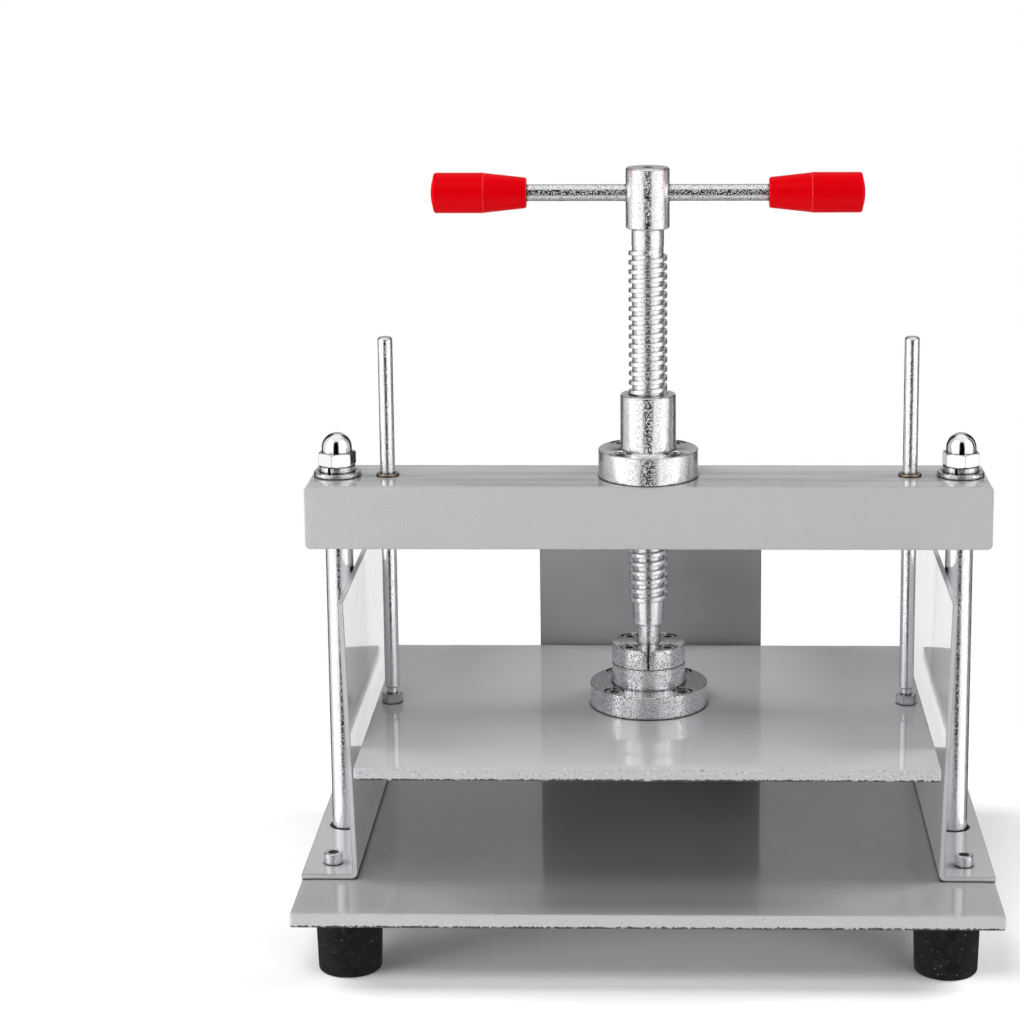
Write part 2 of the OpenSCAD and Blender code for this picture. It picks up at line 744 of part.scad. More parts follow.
module rod_lock_nuts() {
    color("#b9bbbd") both_sides(rod_x, axis_y, plate_top) difference() {
        rotate([0, 0, lock_nut_turn]) hexagon(lock_nut_af, lock_nut_h);
        translate([0, 0, -over])
            cylinder(d = rod_foot_d + 2 * screw_play, h = lock_nut_h + 2 * over);
    }
}

// The whole screw: the head and neck in the socket, stub, thread, plain neck and spigot
module lead_screw() {
    color("#c4c6c8") translate([0, axis_y, 0]) union() {
        rotate_extrude()
            polygon([[0, head_bottom], [head_d / 2 - edge, head_bottom],
                     [head_d / 2, head_bottom + edge], [head_d / 2, head_top - edge],
                     [head_d / 2 - edge, head_top], [neck_d / 2, head_top],
                     [neck_d / 2, stub_bottom], [stub_d / 2 - point, stub_bottom],
                     [stub_d / 2, stub_bottom + point], [stub_d / 2, thread_bottom],
                     [0, thread_bottom]]);
        threaded_bar(thread_bottom, thread_turns, thread_lead);
        rotate_extrude()
            polygon([[0, thread_top], [hub_neck_d / 2, thread_top],
                     [hub_neck_d / 2, hub_bottom], [spigot_d / 2, hub_bottom],
                     [spigot_d / 2, hub_bottom + spigot_l - point],
                     [spigot_d / 2 - point, hub_bottom + spigot_l],
                     [0, hub_bottom + spigot_l]]);
    }
}

module handle_hub() {
    color("#b9bbbd") translate([0, axis_y, 0]) difference() {
        translate([0, 0, hub_bottom])
            chamfered_bar(hub_d, hub_h, bottom = hub_chamfer, top = hub_chamfer);
        translate([0, 0, hub_bottom - over])
            cylinder(d = spigot_d + 2 * seat_gap, h = hub_bore_l + over);
        translate([-hub_d, 0, bar_z]) rotate([0, 90, 0])
            cylinder(d = bar_d + 2 * seat_gap, h = 2 * hub_d);
        translate([0, 0, bar_z])
            cylinder(d = set_screw_d + 2 * screw_play, h = bar_drop + over);
    }
}

module hub_set_screw() {
    set_l = bar_drop - bar_d / 2 - set_screw_sink;
    color("#6f7072") translate([0, axis_y, bar_z + bar_d / 2]) difference() {
        chamfered_bar(set_screw_d, set_l, bottom = soft_edge, top = fine_edge);
        translate([0, 0, set_l / 2]) cylinder(r = hex_r(set_screw_d / 2), h = set_l, $fn = 6);
    }
}

module handle_bar() {
    color("#c4c6c8") translate([-bar_l / 2, axis_y, bar_z]) rotate([0, 90, 0])
        chamfered_bar(bar_d, bar_l, bottom = soft_edge, top = soft_edge);
}

// Grip: a tapered half towards the hub, a round half and a low dome, bored for the bar
module grip(s) {
    r = grip_d / 2;
    dome_a = r - grip_edge;
    dome_r = (dome_a * dome_a + grip_dome_h * grip_dome_h) / (2 * grip_dome_h);
    dome_half = asin(dome_a / dome_r);
    inner_end = handle_l / 2 - grip_dome_h - grip_l;
    dome = [for (i = [0:dome_steps]) let (a = dome_half * (1 - i / dome_steps))
        [dome_r * sin(a), grip_l + grip_dome_h - dome_r * (1 - cos(a))]];
    color("#c4161c") translate([0, axis_y, bar_z]) rotate([0, s * 90, 0])
        translate([0, 0, inner_end]) difference() {
            rotate_extrude()
                polygon(concat([[0, 0], [grip_thin_d / 2 - grip_edge, 0],
                                [grip_thin_d / 2, grip_edge],
                                [r, grip_taper_l], [r, grip_l - grip_edge]], dome));
            translate([0, 0, -over])
                cylinder(d = bar_d + 2 * seat_gap, h = bar_l / 2 - inner_end + hole_spare + over);
        }
}
module grip_left() grip(-1);
module grip_right() grip(1);

base_plate();
rubber_foot_front_left();
rubber_foot_front_right();
rubber_foot_rear_left();
rubber_foot_rear_right();
foot_screws();
side_guide_left();
side_guide_right();
back_guide();
side_guide_screws();
back_guide_screws();
column_left();
column_right();
column_bolts();
beam();
guide_bush_left();
guide_bush_right();
flat_washers();
spring_washers();
acorn_nut_left();
acorn_nut_right();
screw_nut();
nut_screws();
press_plate();
socket_flange();
socket_screws();
thrust_pad();
collar_half_left();
collar_half_right();
collar_screws();
guide_rod_left();
guide_rod_right();
rod_lock_nuts();
lead_screw();
handle_hub();
hub_set_screw();
handle_bar();
grip_left();
grip_right();
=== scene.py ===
"""Looks of a flat press: finishes, turned and enamelled pieces, the stage and the camera."""

import json
from math import ceil, cos, pi, radians, sin, tan

import bmesh
import bpy
from bpy.props import FloatProperty, FloatVectorProperty, IntProperty, PointerProperty
from mathutils import Matrix, Vector, noise

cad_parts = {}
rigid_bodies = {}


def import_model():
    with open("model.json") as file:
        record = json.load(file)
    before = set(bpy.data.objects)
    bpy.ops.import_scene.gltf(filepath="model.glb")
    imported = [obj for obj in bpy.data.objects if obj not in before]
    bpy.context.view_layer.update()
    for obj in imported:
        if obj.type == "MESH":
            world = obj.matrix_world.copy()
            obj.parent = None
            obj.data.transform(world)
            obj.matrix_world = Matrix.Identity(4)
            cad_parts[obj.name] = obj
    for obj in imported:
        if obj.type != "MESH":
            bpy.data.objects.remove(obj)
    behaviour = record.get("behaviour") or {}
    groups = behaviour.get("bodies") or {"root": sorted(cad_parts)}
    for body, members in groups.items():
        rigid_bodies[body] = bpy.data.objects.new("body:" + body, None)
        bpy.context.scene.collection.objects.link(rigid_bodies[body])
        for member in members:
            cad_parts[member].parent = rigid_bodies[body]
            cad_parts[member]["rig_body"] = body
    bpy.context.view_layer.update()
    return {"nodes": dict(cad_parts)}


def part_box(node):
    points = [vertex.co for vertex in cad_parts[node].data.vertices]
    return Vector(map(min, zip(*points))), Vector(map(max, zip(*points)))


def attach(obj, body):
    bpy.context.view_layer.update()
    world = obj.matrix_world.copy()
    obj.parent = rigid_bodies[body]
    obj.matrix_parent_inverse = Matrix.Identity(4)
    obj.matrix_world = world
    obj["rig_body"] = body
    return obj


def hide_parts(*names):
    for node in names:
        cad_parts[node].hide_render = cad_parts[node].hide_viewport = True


bl_info = {
    "name": "Flat press",
    "version": (1, 0, 0),
    "blender": (4, 5, 0),
    "location": "3D View > Sidebar > Flat press",
    "description": "Dresses a packed flat press with its finishes and sets its stage",
    "category": "Object",
}

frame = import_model()
MM = 0.001
LOW, HIGH = 0, 1

# Mesh attributes that are 1 on a plate's sides and on its lower arris, and 0 away from them
RIM = "rim"
ARRIS = "arris"

AXIS_Y = sum(corner.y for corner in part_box("screw_nut")) / 2
COLUMN_X = sum(corner.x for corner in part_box("column_right")) / 2
ROD_X = sum(corner.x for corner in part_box("guide_rod_right")) / 2
FEET = ("rubber_foot_front_left", "rubber_foot_front_right",
        "rubber_foot_rear_left", "rubber_foot_rear_right")

# Points nearer than this are one
WELD = 1e-6
# Angles between faces: below the first they are flat, above the second soft_copy rounds
# their edge, and above the third it is an edge of a whole block
FLAT, SHARP, SQUARE = radians(0.4), radians(32), radians(60)

# Holes are a little wider than what goes through them, and a drill stands past the face
PAST = MM
M6_HOLE = 6.2 * MM
COLUMN_BOLT_HOLE = 10.2 * MM
COLUMN_END_HOLE = 12.2 * MM
BUSH_HOLE = 10.1 * MM
SLEEVE_HOLE = 30.1 * MM
FOOT_HOLE_ROOF = 1.5 * MM
GUIDE_HOLE_DEPTH = 6.5 * MM
NUT_HOLE_DEPTH = 22 * MM
NUT_CIRCLE = 42 * MM
SOCKET_CIRCLE = 52 * MM
# Places of the guides' screws in the base, with a twin on the other side
SIDE_SCREW_X, SIDE_SCREW_YS = 168 * MM, (-71 * MM, 113 * MM)
BACK_SCREW_X, BACK_SCREW_Y = 48 * MM, 115 * MM

# How far the waves of an enamelled edge reach in, and the width of its lower arris, which is
# painted dark as shade
WAVE_REACH = 6 * MM
ARRIS_WIDTH = 1.2 * MM
# How near two surfaces are where painted shade gathers between them
SEAM_REACH = 1.8 * MM

# Name, place and height of each lamp, the height as a share of its width
LAMPS = (("front_left", (-1.73, -1.00, 0.22), 0.4), ("front_right", (1.41, -1.41, 0.22), 0.4),
         ("side_left", (-1.51, 0.27, 1.47), 1.0), ("side_right", (1.51, 0.27, 1.47), 1.0),
         ("top", (-0.47, -1.01, 1.84), 1.0))
LAMP_AIM = Vector((0, 0, 0.2))
# The floor's shadow shows whole up to the first distance from the press's middle, and not
# past the second
SHADOW_NEAR, SHADOW_FAR = 0.22, 0.44

# Walls of the room that gloss sees: degrees from the front, positive to the right, and the
# grey there. Past BEHIND_FROM on either side they are the first of BEHIND_GREYS above the
# horizon and the second below it.
SCREENS = ((-156, 0.02), (-127, 0.02), (-122, 0.60), (-98, 0.85), (-88, 1.1), (-75, 1.2),
           (-72, 3.0), (-62, 3.0), (-59, 1.2), (-45, 1.25), (-23, 1.25), (-18, 0.0), (19, 0.0),
           (24, 1.2), (58, 1.2), (61, 2.4), (69, 2.4), (72, 1.2), (94, 1.2), (99, 0.0),
           (113, 0.0), (116, 0.75), (122, 0.70), (126, 0.02), (156, 0.02))
BEHIND_FROM = 163
BEHIND_GREYS = (0.44, 1.08)
HORIZON = (0.0, -0.06)
WHITE = (1, 1, 1, 1)


def tint(name, description, default):
    """A colour that the sidebar shows."""
    return FloatVectorProperty(name=name, description=description, subtype="COLOR", size=3,
                               min=0, max=1, default=default)


def size_mm(name, description, default, least, most):
    """A length that the sidebar shows, given in millimetres."""
    return FloatProperty(name=name, description=description, unit="LENGTH",
                         default=default * MM, min=least * MM, max=most * MM)


class PressFinish(bpy.types.PropertyGroup):
    """Colours and textures of the finishes"""

    enamel: tint("Grey enamel", "Colour of the plates and the beam", (0.440, 0.447, 0.459))
    pale_enamel: tint("Pale enamel", "Colour of the paper guides", (0.455, 0.461, 0.473))
    steel: tint("Steel", "Colour of bare and plated steel", (0.86, 0.865, 0.88))
    zinc: tint("Zinc", "Colour of the screws and washers", (0.74, 0.745, 0.76))
    nickel: tint("Nickel", "Colour of the acorn nuts", (0.90, 0.90, 0.90))
    bronze: tint("Bronze", "Colour of the guide bushes", (0.42, 0.33, 0.25))
    red: tint("Grip red", "Colour of the grips", (0.60, 0.0004, 0.004))
    rubber: tint("Rubber", "Colour of the feet", (0.0055, 0.0055, 0.006))
    peel_size: size_mm("Orange peel size", "Width of the small waves in the enamel", 1.3, 0.2, 10)
    peel_height: size_mm("Orange peel height", "Height of the small waves in the enamel",
                         0.05, 0, 1)
    lump_height: size_mm("Edge lump height", "Height of the lumps in the paint on an edge",
                         0.12, 0, 2)
    # Above 1 this paints the rim paler, a painted highlight where an edge catches light
    rim_highlight_gain: FloatProperty(
        name="Edge paleness", description="Brightness of the thick paint on an edge",
        min=0.5, max=2, default=1.0)
    wave_length: size_mm("Edge wave length", "Length of the waves along an enamelled edge",
                         9, 2, 100)
    wave_height: size_mm("Edge wave height", "Depth of the waves along an enamelled edge",
                         0.35, 0, 1)


class PressScrew(bpy.types.PropertyGroup):
    """Sizes of the screw's thread"""

    thread_d: size_mm("Thread diameter", "Outside diameter of the thread", 20.8, 15, 30)
    core_d: size_mm("Core diameter", "Diameter at the thread's root", 17, 10, 28)
    pitch: size_mm("Pitch", "Rise of the thread in one turn", 5, 2, 10)
    crest: size_mm("Crest width", "Width of the thread's crest", 2.3, 1, 6)
    flank: size_mm("Flank width", "Width of each flank of the thread", 0.3, 0.1, 2)
    turns: IntProperty(
        name="Turns", description="Number of pitches that the thread is long",
        min=10, max=60, default=40)
    thread_above_plate: size_mm("Thread end", "Height of the thread above the press plate",
                                53, 40, 60)
    thread_lead: size_mm("Thread lead", "Plain length at each end of the thread", 0.2, 0, 2)
    stub_d: size_mm("Stub diameter", "Diameter of the plain stub under the thread", 16.5, 10, 20)
    stub_h: size_mm("Stub height", "Height of the plain stub under the thread", 7.5, 2, 20)
    neck_d: size_mm("Neck diameter", "Diameter of the neck in the split collar", 12, 8, 16)
    head_d: size_mm("Head diameter", "Diameter of the head in the socket", 18, 12, 22)
    head_h: size_mm("Head height", "Height of the head in the socket", 6, 3, 10)
    top_neck_d: size_mm("Top neck diameter", "Diameter of the plain neck under the hub",
                        17.4, 10, 30)
    spigot_d: size_mm("Spigot diameter", "Diameter of the spigot in the hub", 12, 6, 16)


class PressHandle(bpy.types.PropertyGroup):
    """Sizes of the grips"""

    grip_d: size_mm("Grip diameter", "Diameter of a grip's thick half", 21.5, 15, 30)
    grip_thin_d: size_mm("Thin end", "Diameter of a grip's end towards the hub", 16.2, 10, 30)
    taper_l: size_mm("Taper", "Length of a grip's tapered half", 22.5, 10, 40)
    dome_h: size_mm("Dome", "Height of a grip's domed end", 1.8, 0.5, 6)
    bore_d: size_mm("Bore", "Diameter of the bore for the bar", 9.1, 5, 14)
    seam: size_mm("Seam", "Step where the thick half meets the taper", 0.18, 0, 1)


class PressStage(bpy.types.PropertyGroup):
    """Camera, floor and light"""

    camera_place: FloatVectorProperty(
        name="Camera", description="Place of the camera",
        subtype="TRANSLATION", unit="LENGTH", size=3, default=(0.014885, -1.419087, 0.567519))
    camera_pitch: FloatProperty(
        name="Pitch", description="Angle that the camera looks down",
        subtype="ANGLE", default=0.1952)
    camera_yaw: FloatProperty(
        name="Yaw", description="Angle that the camera looks to the right",
        subtype="ANGLE", default=-0.0242)
    camera_roll: FloatProperty(
        name="Roll", description="Angle that the camera is rolled by",
        subtype="ANGLE", default=-0.0048)
    lens: FloatProperty(
        name="Lens", description="Focal length on a 36 mm sensor",
        min=20, max=300, default=93.88)
    shift: FloatVectorProperty(
        name="Shift", description="Lens shift as a share of the longer side",
        size=2, default=(-0.10, -0.12))
    floor_radius: FloatProperty(
        name="Floor", description="Radius of the floor",
        unit="LENGTH", min=0.5, max=20, default=0.9)
    ambient: FloatProperty(
        name="Ambient light", description="Strength of the light from all around",
        min=0, max=2, default=0.05)
    front_power: FloatVectorProperty(
        name="Front lamps", description="Power of the low lamps at the front left and right",
        size=2, min=0, max=200, default=(28, 16))
    side_power: FloatVectorProperty(
        name="Side lamps", description="Power of the high lamps at the left and the right",
        size=2, min=0, max=200, default=(24, 30))
    top_power: FloatProperty(
        name="Top lamp", description="Power of the lamp high at the front",
        unit="POWER", min=0, max=200, default=16)
    lamp_width: FloatProperty(
        name="Lamp width", description="Width of each lamp",
        unit="LENGTH", min=0.1, max=3, default=0.9)
    floor_gain: FloatProperty(
        name="Floor gain", description="How much paler the floor shows than it is lit",
        min=1, max=4, default=1.12)


class Wiring:
    """A node tree while it is wired, with the few node set-ups that it needs."""

    def __init__(self, tree):
        self.tree = tree

    def node(self, kind):
        return self.tree.nodes.new(kind)

    def link(self, source, target):
        self.tree.links.new(source, target)

    def feed(self, target, value):
        """Links a socket or sets a plain value."""
        if isinstance(value, bpy.types.NodeSocket):
            self.link(value, target)
        else:
            target.default_value = value

    def span(self, value, from_low, from_high, to_low=0.0, to_high=1.0):
        """Maps one range of values on another."""
        ranged = self.node("ShaderNodeMapRange")
        for name, number in (("From Min", from_low), ("From Max", from_high),
                             ("To Min", to_low), ("To Max", to_high)):
            ranged.inputs[name].default_value = number
        self.feed(ranged.inputs["Value"], value)
        return ranged.outputs["Result"]

    def maths(self, operation, first, second=0.0):
        node = self.node("ShaderNodeMath")
        node.operation = operation
        self.feed(node.inputs[0], first)
        self.feed(node.inputs[1], second)
        return node.outputs["Value"]

    def blended(self, share, first, second):
        """Mix of two colours, each a socket or plain numbers."""
        mix = self.node("ShaderNodeMix")
        mix.data_type = "RGBA"
        self.feed(mix.inputs["Factor"], share)
        for socket, colour in ((mix.inputs[6], first), (mix.inputs[7], second)):
            if not isinstance(colour, bpy.types.NodeSocket):
                colour = (*colour[:3], 1.0)
            self.feed(socket, colour)
        return mix.outputs[2]

    def mixed(self, share, first, second):
        """Mix of two shaders."""
        mix = self.node("ShaderNodeMixShader")
        self.link(share, mix.inputs["Fac"])
        self.link(first, mix.inputs[1])
        self.link(second, mix.inputs[2])
        return mix.outputs["Shader"]

    def split(self, vector):
        """X, Y and Z of a vector."""
        parts = self.node("ShaderNodeSeparateXYZ")
        self.link(vector, parts.inputs["Vector"])
        return [parts.outputs[axis] for axis in "XYZ"]

    def rays(self):
        """Marks of rays from the camera, and of rays off gloss or through clear surfaces."""
        path = self.node("ShaderNodeLightPath")
        return path.outputs["Is Camera Ray"], self.maths(
            "MAXIMUM", path.outputs["Is Glossy Ray"], path.outputs["Is Transmission Ray"])


class Finish(Wiring):
    """A material while it is wired, with its patterns centred on one place."""

    def __init__(self, name, centre=(0, 0, 0)):
        self.material = bpy.data.materials.new(name)
        self.material.use_nodes = True
        super().__init__(self.material.node_tree)
        self.shader = self.tree.nodes["Principled BSDF"]
        coordinates = self.node("ShaderNodeTexCoord")
        mapping = self.node("ShaderNodeMapping")
        mapping.inputs["Location"].default_value = [-c for c in centre]
        self.link(coordinates.outputs["Object"], mapping.inputs["Vector"])
        self.place = mapping.outputs["Vector"]

    def plain(self, **values):
        """Sets constant values on the shader's own sockets."""
        for name, value in values.items():
            self.shader.inputs[name.replace("_", " ")].default_value = value

    def mark(self, name):
        """A mesh attribute."""
        attribute = self.node("ShaderNodeAttribute")
        attribute.attribute_name = name
        return attribute.outputs["Fac"]

    def stretched(self, scale):
        mapping = self.node("ShaderNodeMapping")
        mapping.inputs["Scale"].default_value = scale
        self.link(self.place, mapping.inputs["Vector"])
        return mapping.outputs["Vector"]

    def grain(self, size, detail=2.0, place=None, roughness=0.5):
        """Noise of about that size in metres."""
        texture = self.node("ShaderNodeTexNoise")
        texture.inputs["Scale"].default_value = 1 / size
        texture.inputs["Detail"].default_value = detail
        texture.inputs["Roughness"].default_value = roughness
        self.link(place or self.place, texture.inputs["Vector"])
        return texture.outputs["Fac"]

    def flecks(self, size):
        """Distance to the nearest of many scattered points, in grains."""
        texture = self.node("ShaderNodeTexVoronoi")
        texture.inputs["Scale"].default_value = 1 / size
        self.link(self.place, texture.inputs["Vector"])
        return texture.outputs["Distance"]

    def relief(self, height, distance, under=None):
        bump = self.node("ShaderNodeBump")
        bump.inputs["Strength"].default_value = 1.0
        bump.inputs["Distance"].default_value = distance
        self.link(height, bump.inputs["Height"])
        if under is not None:
            self.link(under, bump.inputs["Normal"])
        return bump.outputs["Normal"]

    def seams(self, full):
        """Share of painted shade in corners and in seams between parts, whole where they are only
        as open as full."""
        hollow = self.node("ShaderNodeAmbientOcclusion")
        hollow.samples = 8
        hollow.inputs["Distance"].default_value = SEAM_REACH
        return self.span(hollow.outputs["AO"], 0.92, full)

    def arris(self, reach):
        """Share of an outer edge, which is about half as wide as the reach."""
        solid = self.node("ShaderNodeAmbientOcclusion")
        solid.samples = 6
        solid.inside = True
        solid.inputs["Distance"].default_value = reach
        return self.span(solid.outputs["AO"], 0.95, 0.78)

    def colour(self, value):
        self.feed(self.shader.inputs["Base Color"], value)

    def roughness(self, value):
        self.feed(self.shader.inputs["Roughness"], value)

    def normal(self, value):
        self.link(value, self.shader.inputs["Normal"])
        return self.material


def shade(colour, factor):
    return tuple(min(1.0, channel * factor) for channel in colour[:3])


def enamel(name, colour, peel_share, reflection_streaked=False, lump_share=0.35, shaded_face_share=1.0):
    """Baked enamel: a glossy coat with orange peel and a few nibs of dust, painted shade in the
    seams and on the lower arris, and darker outer edges. The rim has thick, lumpy paint whose
    low spots are painted darker as shade and whose high spots are painted paler as glints.
    With streaks, what faces up has soft dark streaks, which are painted reflections, and
    little peel. Below a face share of 1, all but the rim is painted darker as shade."""
    look = bpy.context.scene.press_finish
    finish = Finish(name)
    rim = finish.mark(RIM)
    clouds = finish.grain(70 * MM, 3)
    nibs = finish.span(finish.flecks(26 * MM), 0.012, 0.022, 1, 0)
    # Below a share of 1, all but the rim is painted darker as shade
    tone = finish.blended(clouds, shade(colour, 0.97 * shaded_face_share),
                          shade(colour, 1.03 * shaded_face_share))

    # Thick paint on the rim: its low spots are painted darker as shade and its high spots paler as
    # glints, besides the relief further down
    lumps = finish.grain(1.5 * MM, 3, roughness=0.6)
    hollows_with_painted_shade = finish.span(lumps, 0.34, 0.40, lump_share, 0)
    bumps_with_painted_glints = finish.span(lumps, 0.60, 0.68, 0, lump_share)
    edge = finish.blended(hollows_with_painted_shade, shade(colour, look.rim_highlight_gain),
                          shade(colour, 0.4 * look.rim_highlight_gain))
    edge = finish.blended(bumps_with_painted_glints, edge, shade(colour, 1.5))
    tone = finish.blended(rim, tone, edge)

    peel_waves = finish.grain(look.peel_size, 2)
    # Soft dark streaks on what faces up are painted reflections
    if reflection_streaked:
        upward = finish.split(finish.node("ShaderNodeTexCoord").outputs["Normal"])[2]
        reflection_lines = finish.span(finish.grain(5 * MM, 2, finish.stretched((0.02, 1, 1))), 0.42, 0.62)
        reflection_lines = finish.maths("MULTIPLY", reflection_lines, finish.span(upward, 0.6, 0.95, 0, 0.9))
        tone = finish.blended(reflection_lines, tone, shade(colour, 0.68))
        peel_waves = finish.maths("MULTIPLY", peel_waves, finish.span(upward, 0.6, 0.95, 1, 0.08))

    # The lower arris is painted near black as shade, with a ragged border
    ragged = finish.maths("ADD", finish.mark(ARRIS), finish.grain(1.6 * MM, 3))
    lower_arris_shade = finish.span(ragged, 1.32, 1.44)
    tone = finish.blended(finish.maths("MULTIPLY", nibs, 0.6), tone, shade(colour, 0.35))
    tone = finish.blended(lower_arris_shade, tone, shade(colour, 0.05))
    tone = finish.blended(finish.arris(0.6 * MM), tone, shade(colour, 0.45))
    # Painted shade in corners and seams
    finish.colour(finish.blended(finish.seams(0.48), tone, shade(colour, 0.06)))
    finish.roughness(finish.span(finish.grain(9 * MM, 3), 0.3, 0.7, 0.30, 0.38))
    finish.plain(Coat_Weight=1.0, Coat_Roughness=0.03, Coat_IOR=1.6)

    peel = finish.relief(peel_waves, look.peel_height * peel_share)
    raised = finish.maths("MULTIPLY", finish.maths("SUBTRACT", bumps_with_painted_glints, hollows_with_painted_shade), rim)
    lumpy = finish.relief(raised, look.lump_height, peel)
    lumpy = finish.relief(nibs, 0.05 * MM, lumpy)
    finish.link(lumpy, finish.shader.inputs["Coat Normal"])
    return finish.normal(lumpy)


def steel(name, colour, centre, rough, pits, lathe=0.0, drawn=None, edge=0.55 * MM,
          specks=0.06, seam_shade_share=1.0):
    """Bright plated steel with small pits, painted shade in corners and seams and a painted dark
    reflection on its arrises, which is left out where edge is 0. The shade share sets how
    strong that painted shade and dark reflection are in their patches. It has lathe rings
    about Z through centre, or streaks where drawn gives the scale of the noise along X, Y and
    Z. Pits and rings are that many mm deep."""
    finish = Finish(name, centre)
    clouds = finish.grain(14 * MM, 3)
    pitted = finish.span(finish.grain(0.8 * MM, 1), 0.54, 0.66)
    tone = finish.blended(clouds, shade(colour, 0.95), shade(colour, 1.0))
    tone = finish.blended(finish.maths("MULTIPLY", pitted, specks), tone, shade(colour, 0.3))
    # Painted shade in corners and seams, and a painted dark reflection on the arrises, both in
    # patches
    seam_shade_and_arris_reflection = finish.seams(0.58)
    if edge:
        seam_shade_and_arris_reflection = finish.maths("MAXIMUM", seam_shade_and_arris_reflection, finish.maths("MULTIPLY", finish.arris(edge), 0.9))
    patchy = finish.span(finish.grain(1.0 * MM, 1), 0.35, 0.55, 0.5 * seam_shade_share, seam_shade_share)
    seam_shade_and_arris_reflection = finish.maths("MULTIPLY", seam_shade_and_arris_reflection, patchy)
    finish.colour(finish.blended(seam_shade_and_arris_reflection, tone, shade(colour, 0.05)))
    finish.plain(Metallic=1.0)
    finish.roughness(finish.span(clouds, 0.3, 0.7, rough, rough * 1.12))
    relief = finish.relief(pitted, pits * MM)
    if lathe:
        x, y, z = finish.split(finish.place)
        squares = finish.maths("ADD", finish.maths("MULTIPLY", x, x),
                               finish.maths("MULTIPLY", y, y))
        rings = finish.node("ShaderNodeTexNoise")
        rings.noise_dimensions = "1D"
        rings.inputs["Scale"].default_value = 1 / (0.45 * MM)
        rings.inputs["Detail"].default_value = 2
        finish.link(finish.maths("ADD", finish.maths("SQRT", squares), z), rings.inputs["W"])
        relief = finish.relief(rings.outputs["Fac"], lathe * MM, relief)
    if drawn:
        streaks = finish.grain(0.8 * MM, 2, finish.stretched(drawn))
        relief = finish.relief(streaks, 0.012 * MM, relief)
    return finish.normal(relief)


def grip_plastic(name):
    """Moulded plastic with soft flow marks, small pale scuffs and a painted highlight, a pale
    broken band, where the taper meets the thick half."""
    red = bpy.context.scene.press_finish.red
    finish = Finish(name)
    clouds = finish.grain(12 * MM, 2)
    tone = finish.blended(clouds, shade(red, 0.93), shade(red, 1.05))
    scuffs = finish.span(finish.grain(1.1 * MM, 3), 0.64, 0.76, 0, 0.25)
    # A pale, broken band at the step between the halves is a painted highlight
    seam_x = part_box("grip_right")[LOW].x + bpy.context.scene.press_handle.taper_l
    across = finish.maths("ABSOLUTE", finish.split(finish.place)[0])
    from_seam = finish.maths("ABSOLUTE", finish.maths("SUBTRACT", across, seam_x))
    seam = finish.maths("MULTIPLY", finish.span(from_seam, 0.15 * MM, 0.45 * MM, 0.6, 0),
                        finish.span(finish.grain(1.3 * MM, 2), 0.35, 0.55, 0.3, 1))
    finish.colour(finish.blended(finish.maths("MAXIMUM", scuffs, seam), tone, (0.75, 0.06, 0.07)))
    finish.roughness(finish.span(clouds, 0.3, 0.7, 0.29, 0.38))
    finish.plain(Specular_IOR_Level=0.05)
    relief = finish.relief(finish.grain(1.4 * MM, 2), 0.012 * MM)
    return finish.normal(finish.relief(finish.grain(8 * MM, 1), 0.05 * MM, relief))


def foot_rubber(name):
    """Matt black rubber with the fine grain of its mould, a little dust and small grey chips
    in patches."""
    rubber = bpy.context.scene.press_finish.rubber
    finish = Finish(name)
    dust = finish.span(finish.grain(5 * MM, 4, roughness=0.7), 0.45, 0.7, 0, 0.8)
    tone = finish.blended(dust, rubber, shade(rubber, 4))
    chips = finish.maths("MULTIPLY", finish.span(finish.flecks(2.6 * MM), 0.08, 0.16, 1, 0),
                         finish.span(finish.grain(9 * MM, 1), 0.45, 0.53))
    finish.colour(finish.blended(chips, tone, (0.16, 0.16, 0.16)))
    finish.roughness(finish.span(dust, 0, 0.5, 0.55, 0.8))
    finish.plain(Specular_IOR_Level=0.1)
    return finish.normal(finish.relief(finish.grain(0.5 * MM, 2), 0.04 * MM))


def finish_of(slot, centre, tag):
    """The material of a slot, made at its first use."""
    name = slot + tag + "_finish"
    if name in bpy.data.materials:
        return bpy.data.materials[name]
    look = bpy.context.scene.press_finish
    makers = {
        # The base plate's faces, all but its rim, are painted darker as shade
        "grey_enamel": lambda: enamel(name, look.enamel, 0.4, shaded_face_share=0.8),
        "grey_enamel_beam": lambda: enamel(name, look.enamel, 5.0, True),
        "grey_enamel_press": lambda: enamel(name, look.enamel, 0.4, lump_share=0.8),
        "pale_enamel": lambda: enamel(name, look.pale_enamel, 0.25),
        # The back guide's enamel is a copy of the pale enamel painted darker as shade
        "pale_enamel_back": lambda: enamel(name, shade(look.pale_enamel, 0.8), 0.25),
        "turned_steel": lambda: steel(name, look.steel, centre, 0.23, 0.11, lathe=0.004),
        "ground_steel": lambda: steel(name, look.steel, centre, 0.20, 0.06, drawn=(1, 1, 0.04)),
        "turned_steel_socket": lambda: steel(name, look.steel, centre, 0.23, 0.20,
                                             lathe=0.004, specks=0.85),
        "ground_steel_bar": lambda: steel(name, look.steel, centre, 0.20, 0.12,
                                          drawn=(0.04, 1, 1), specks=0.6),
        "thread_steel": lambda: steel(name, look.steel, centre, 0.26, 0.06, edge=0.0, seam_shade_share=0.35),
        "zinc_fastener": lambda: steel(name, look.zinc, centre, 0.23, 0.04),
        "nickel_nut": lambda: steel(name, look.nickel, centre, 0.12, 0.004),
        "black_screw": lambda: steel(name, shade(look.zinc, 0.25), centre, 0.35, 0.03),
        "bronze": lambda: steel(name, look.bronze, centre, 0.22, 0.03, lathe=0.004),
        "red_grip": lambda: grip_plastic(name),
        "black_rubber": lambda: foot_rubber(name),
    }
    return makers[slot + tag if slot + tag in makers else slot]()


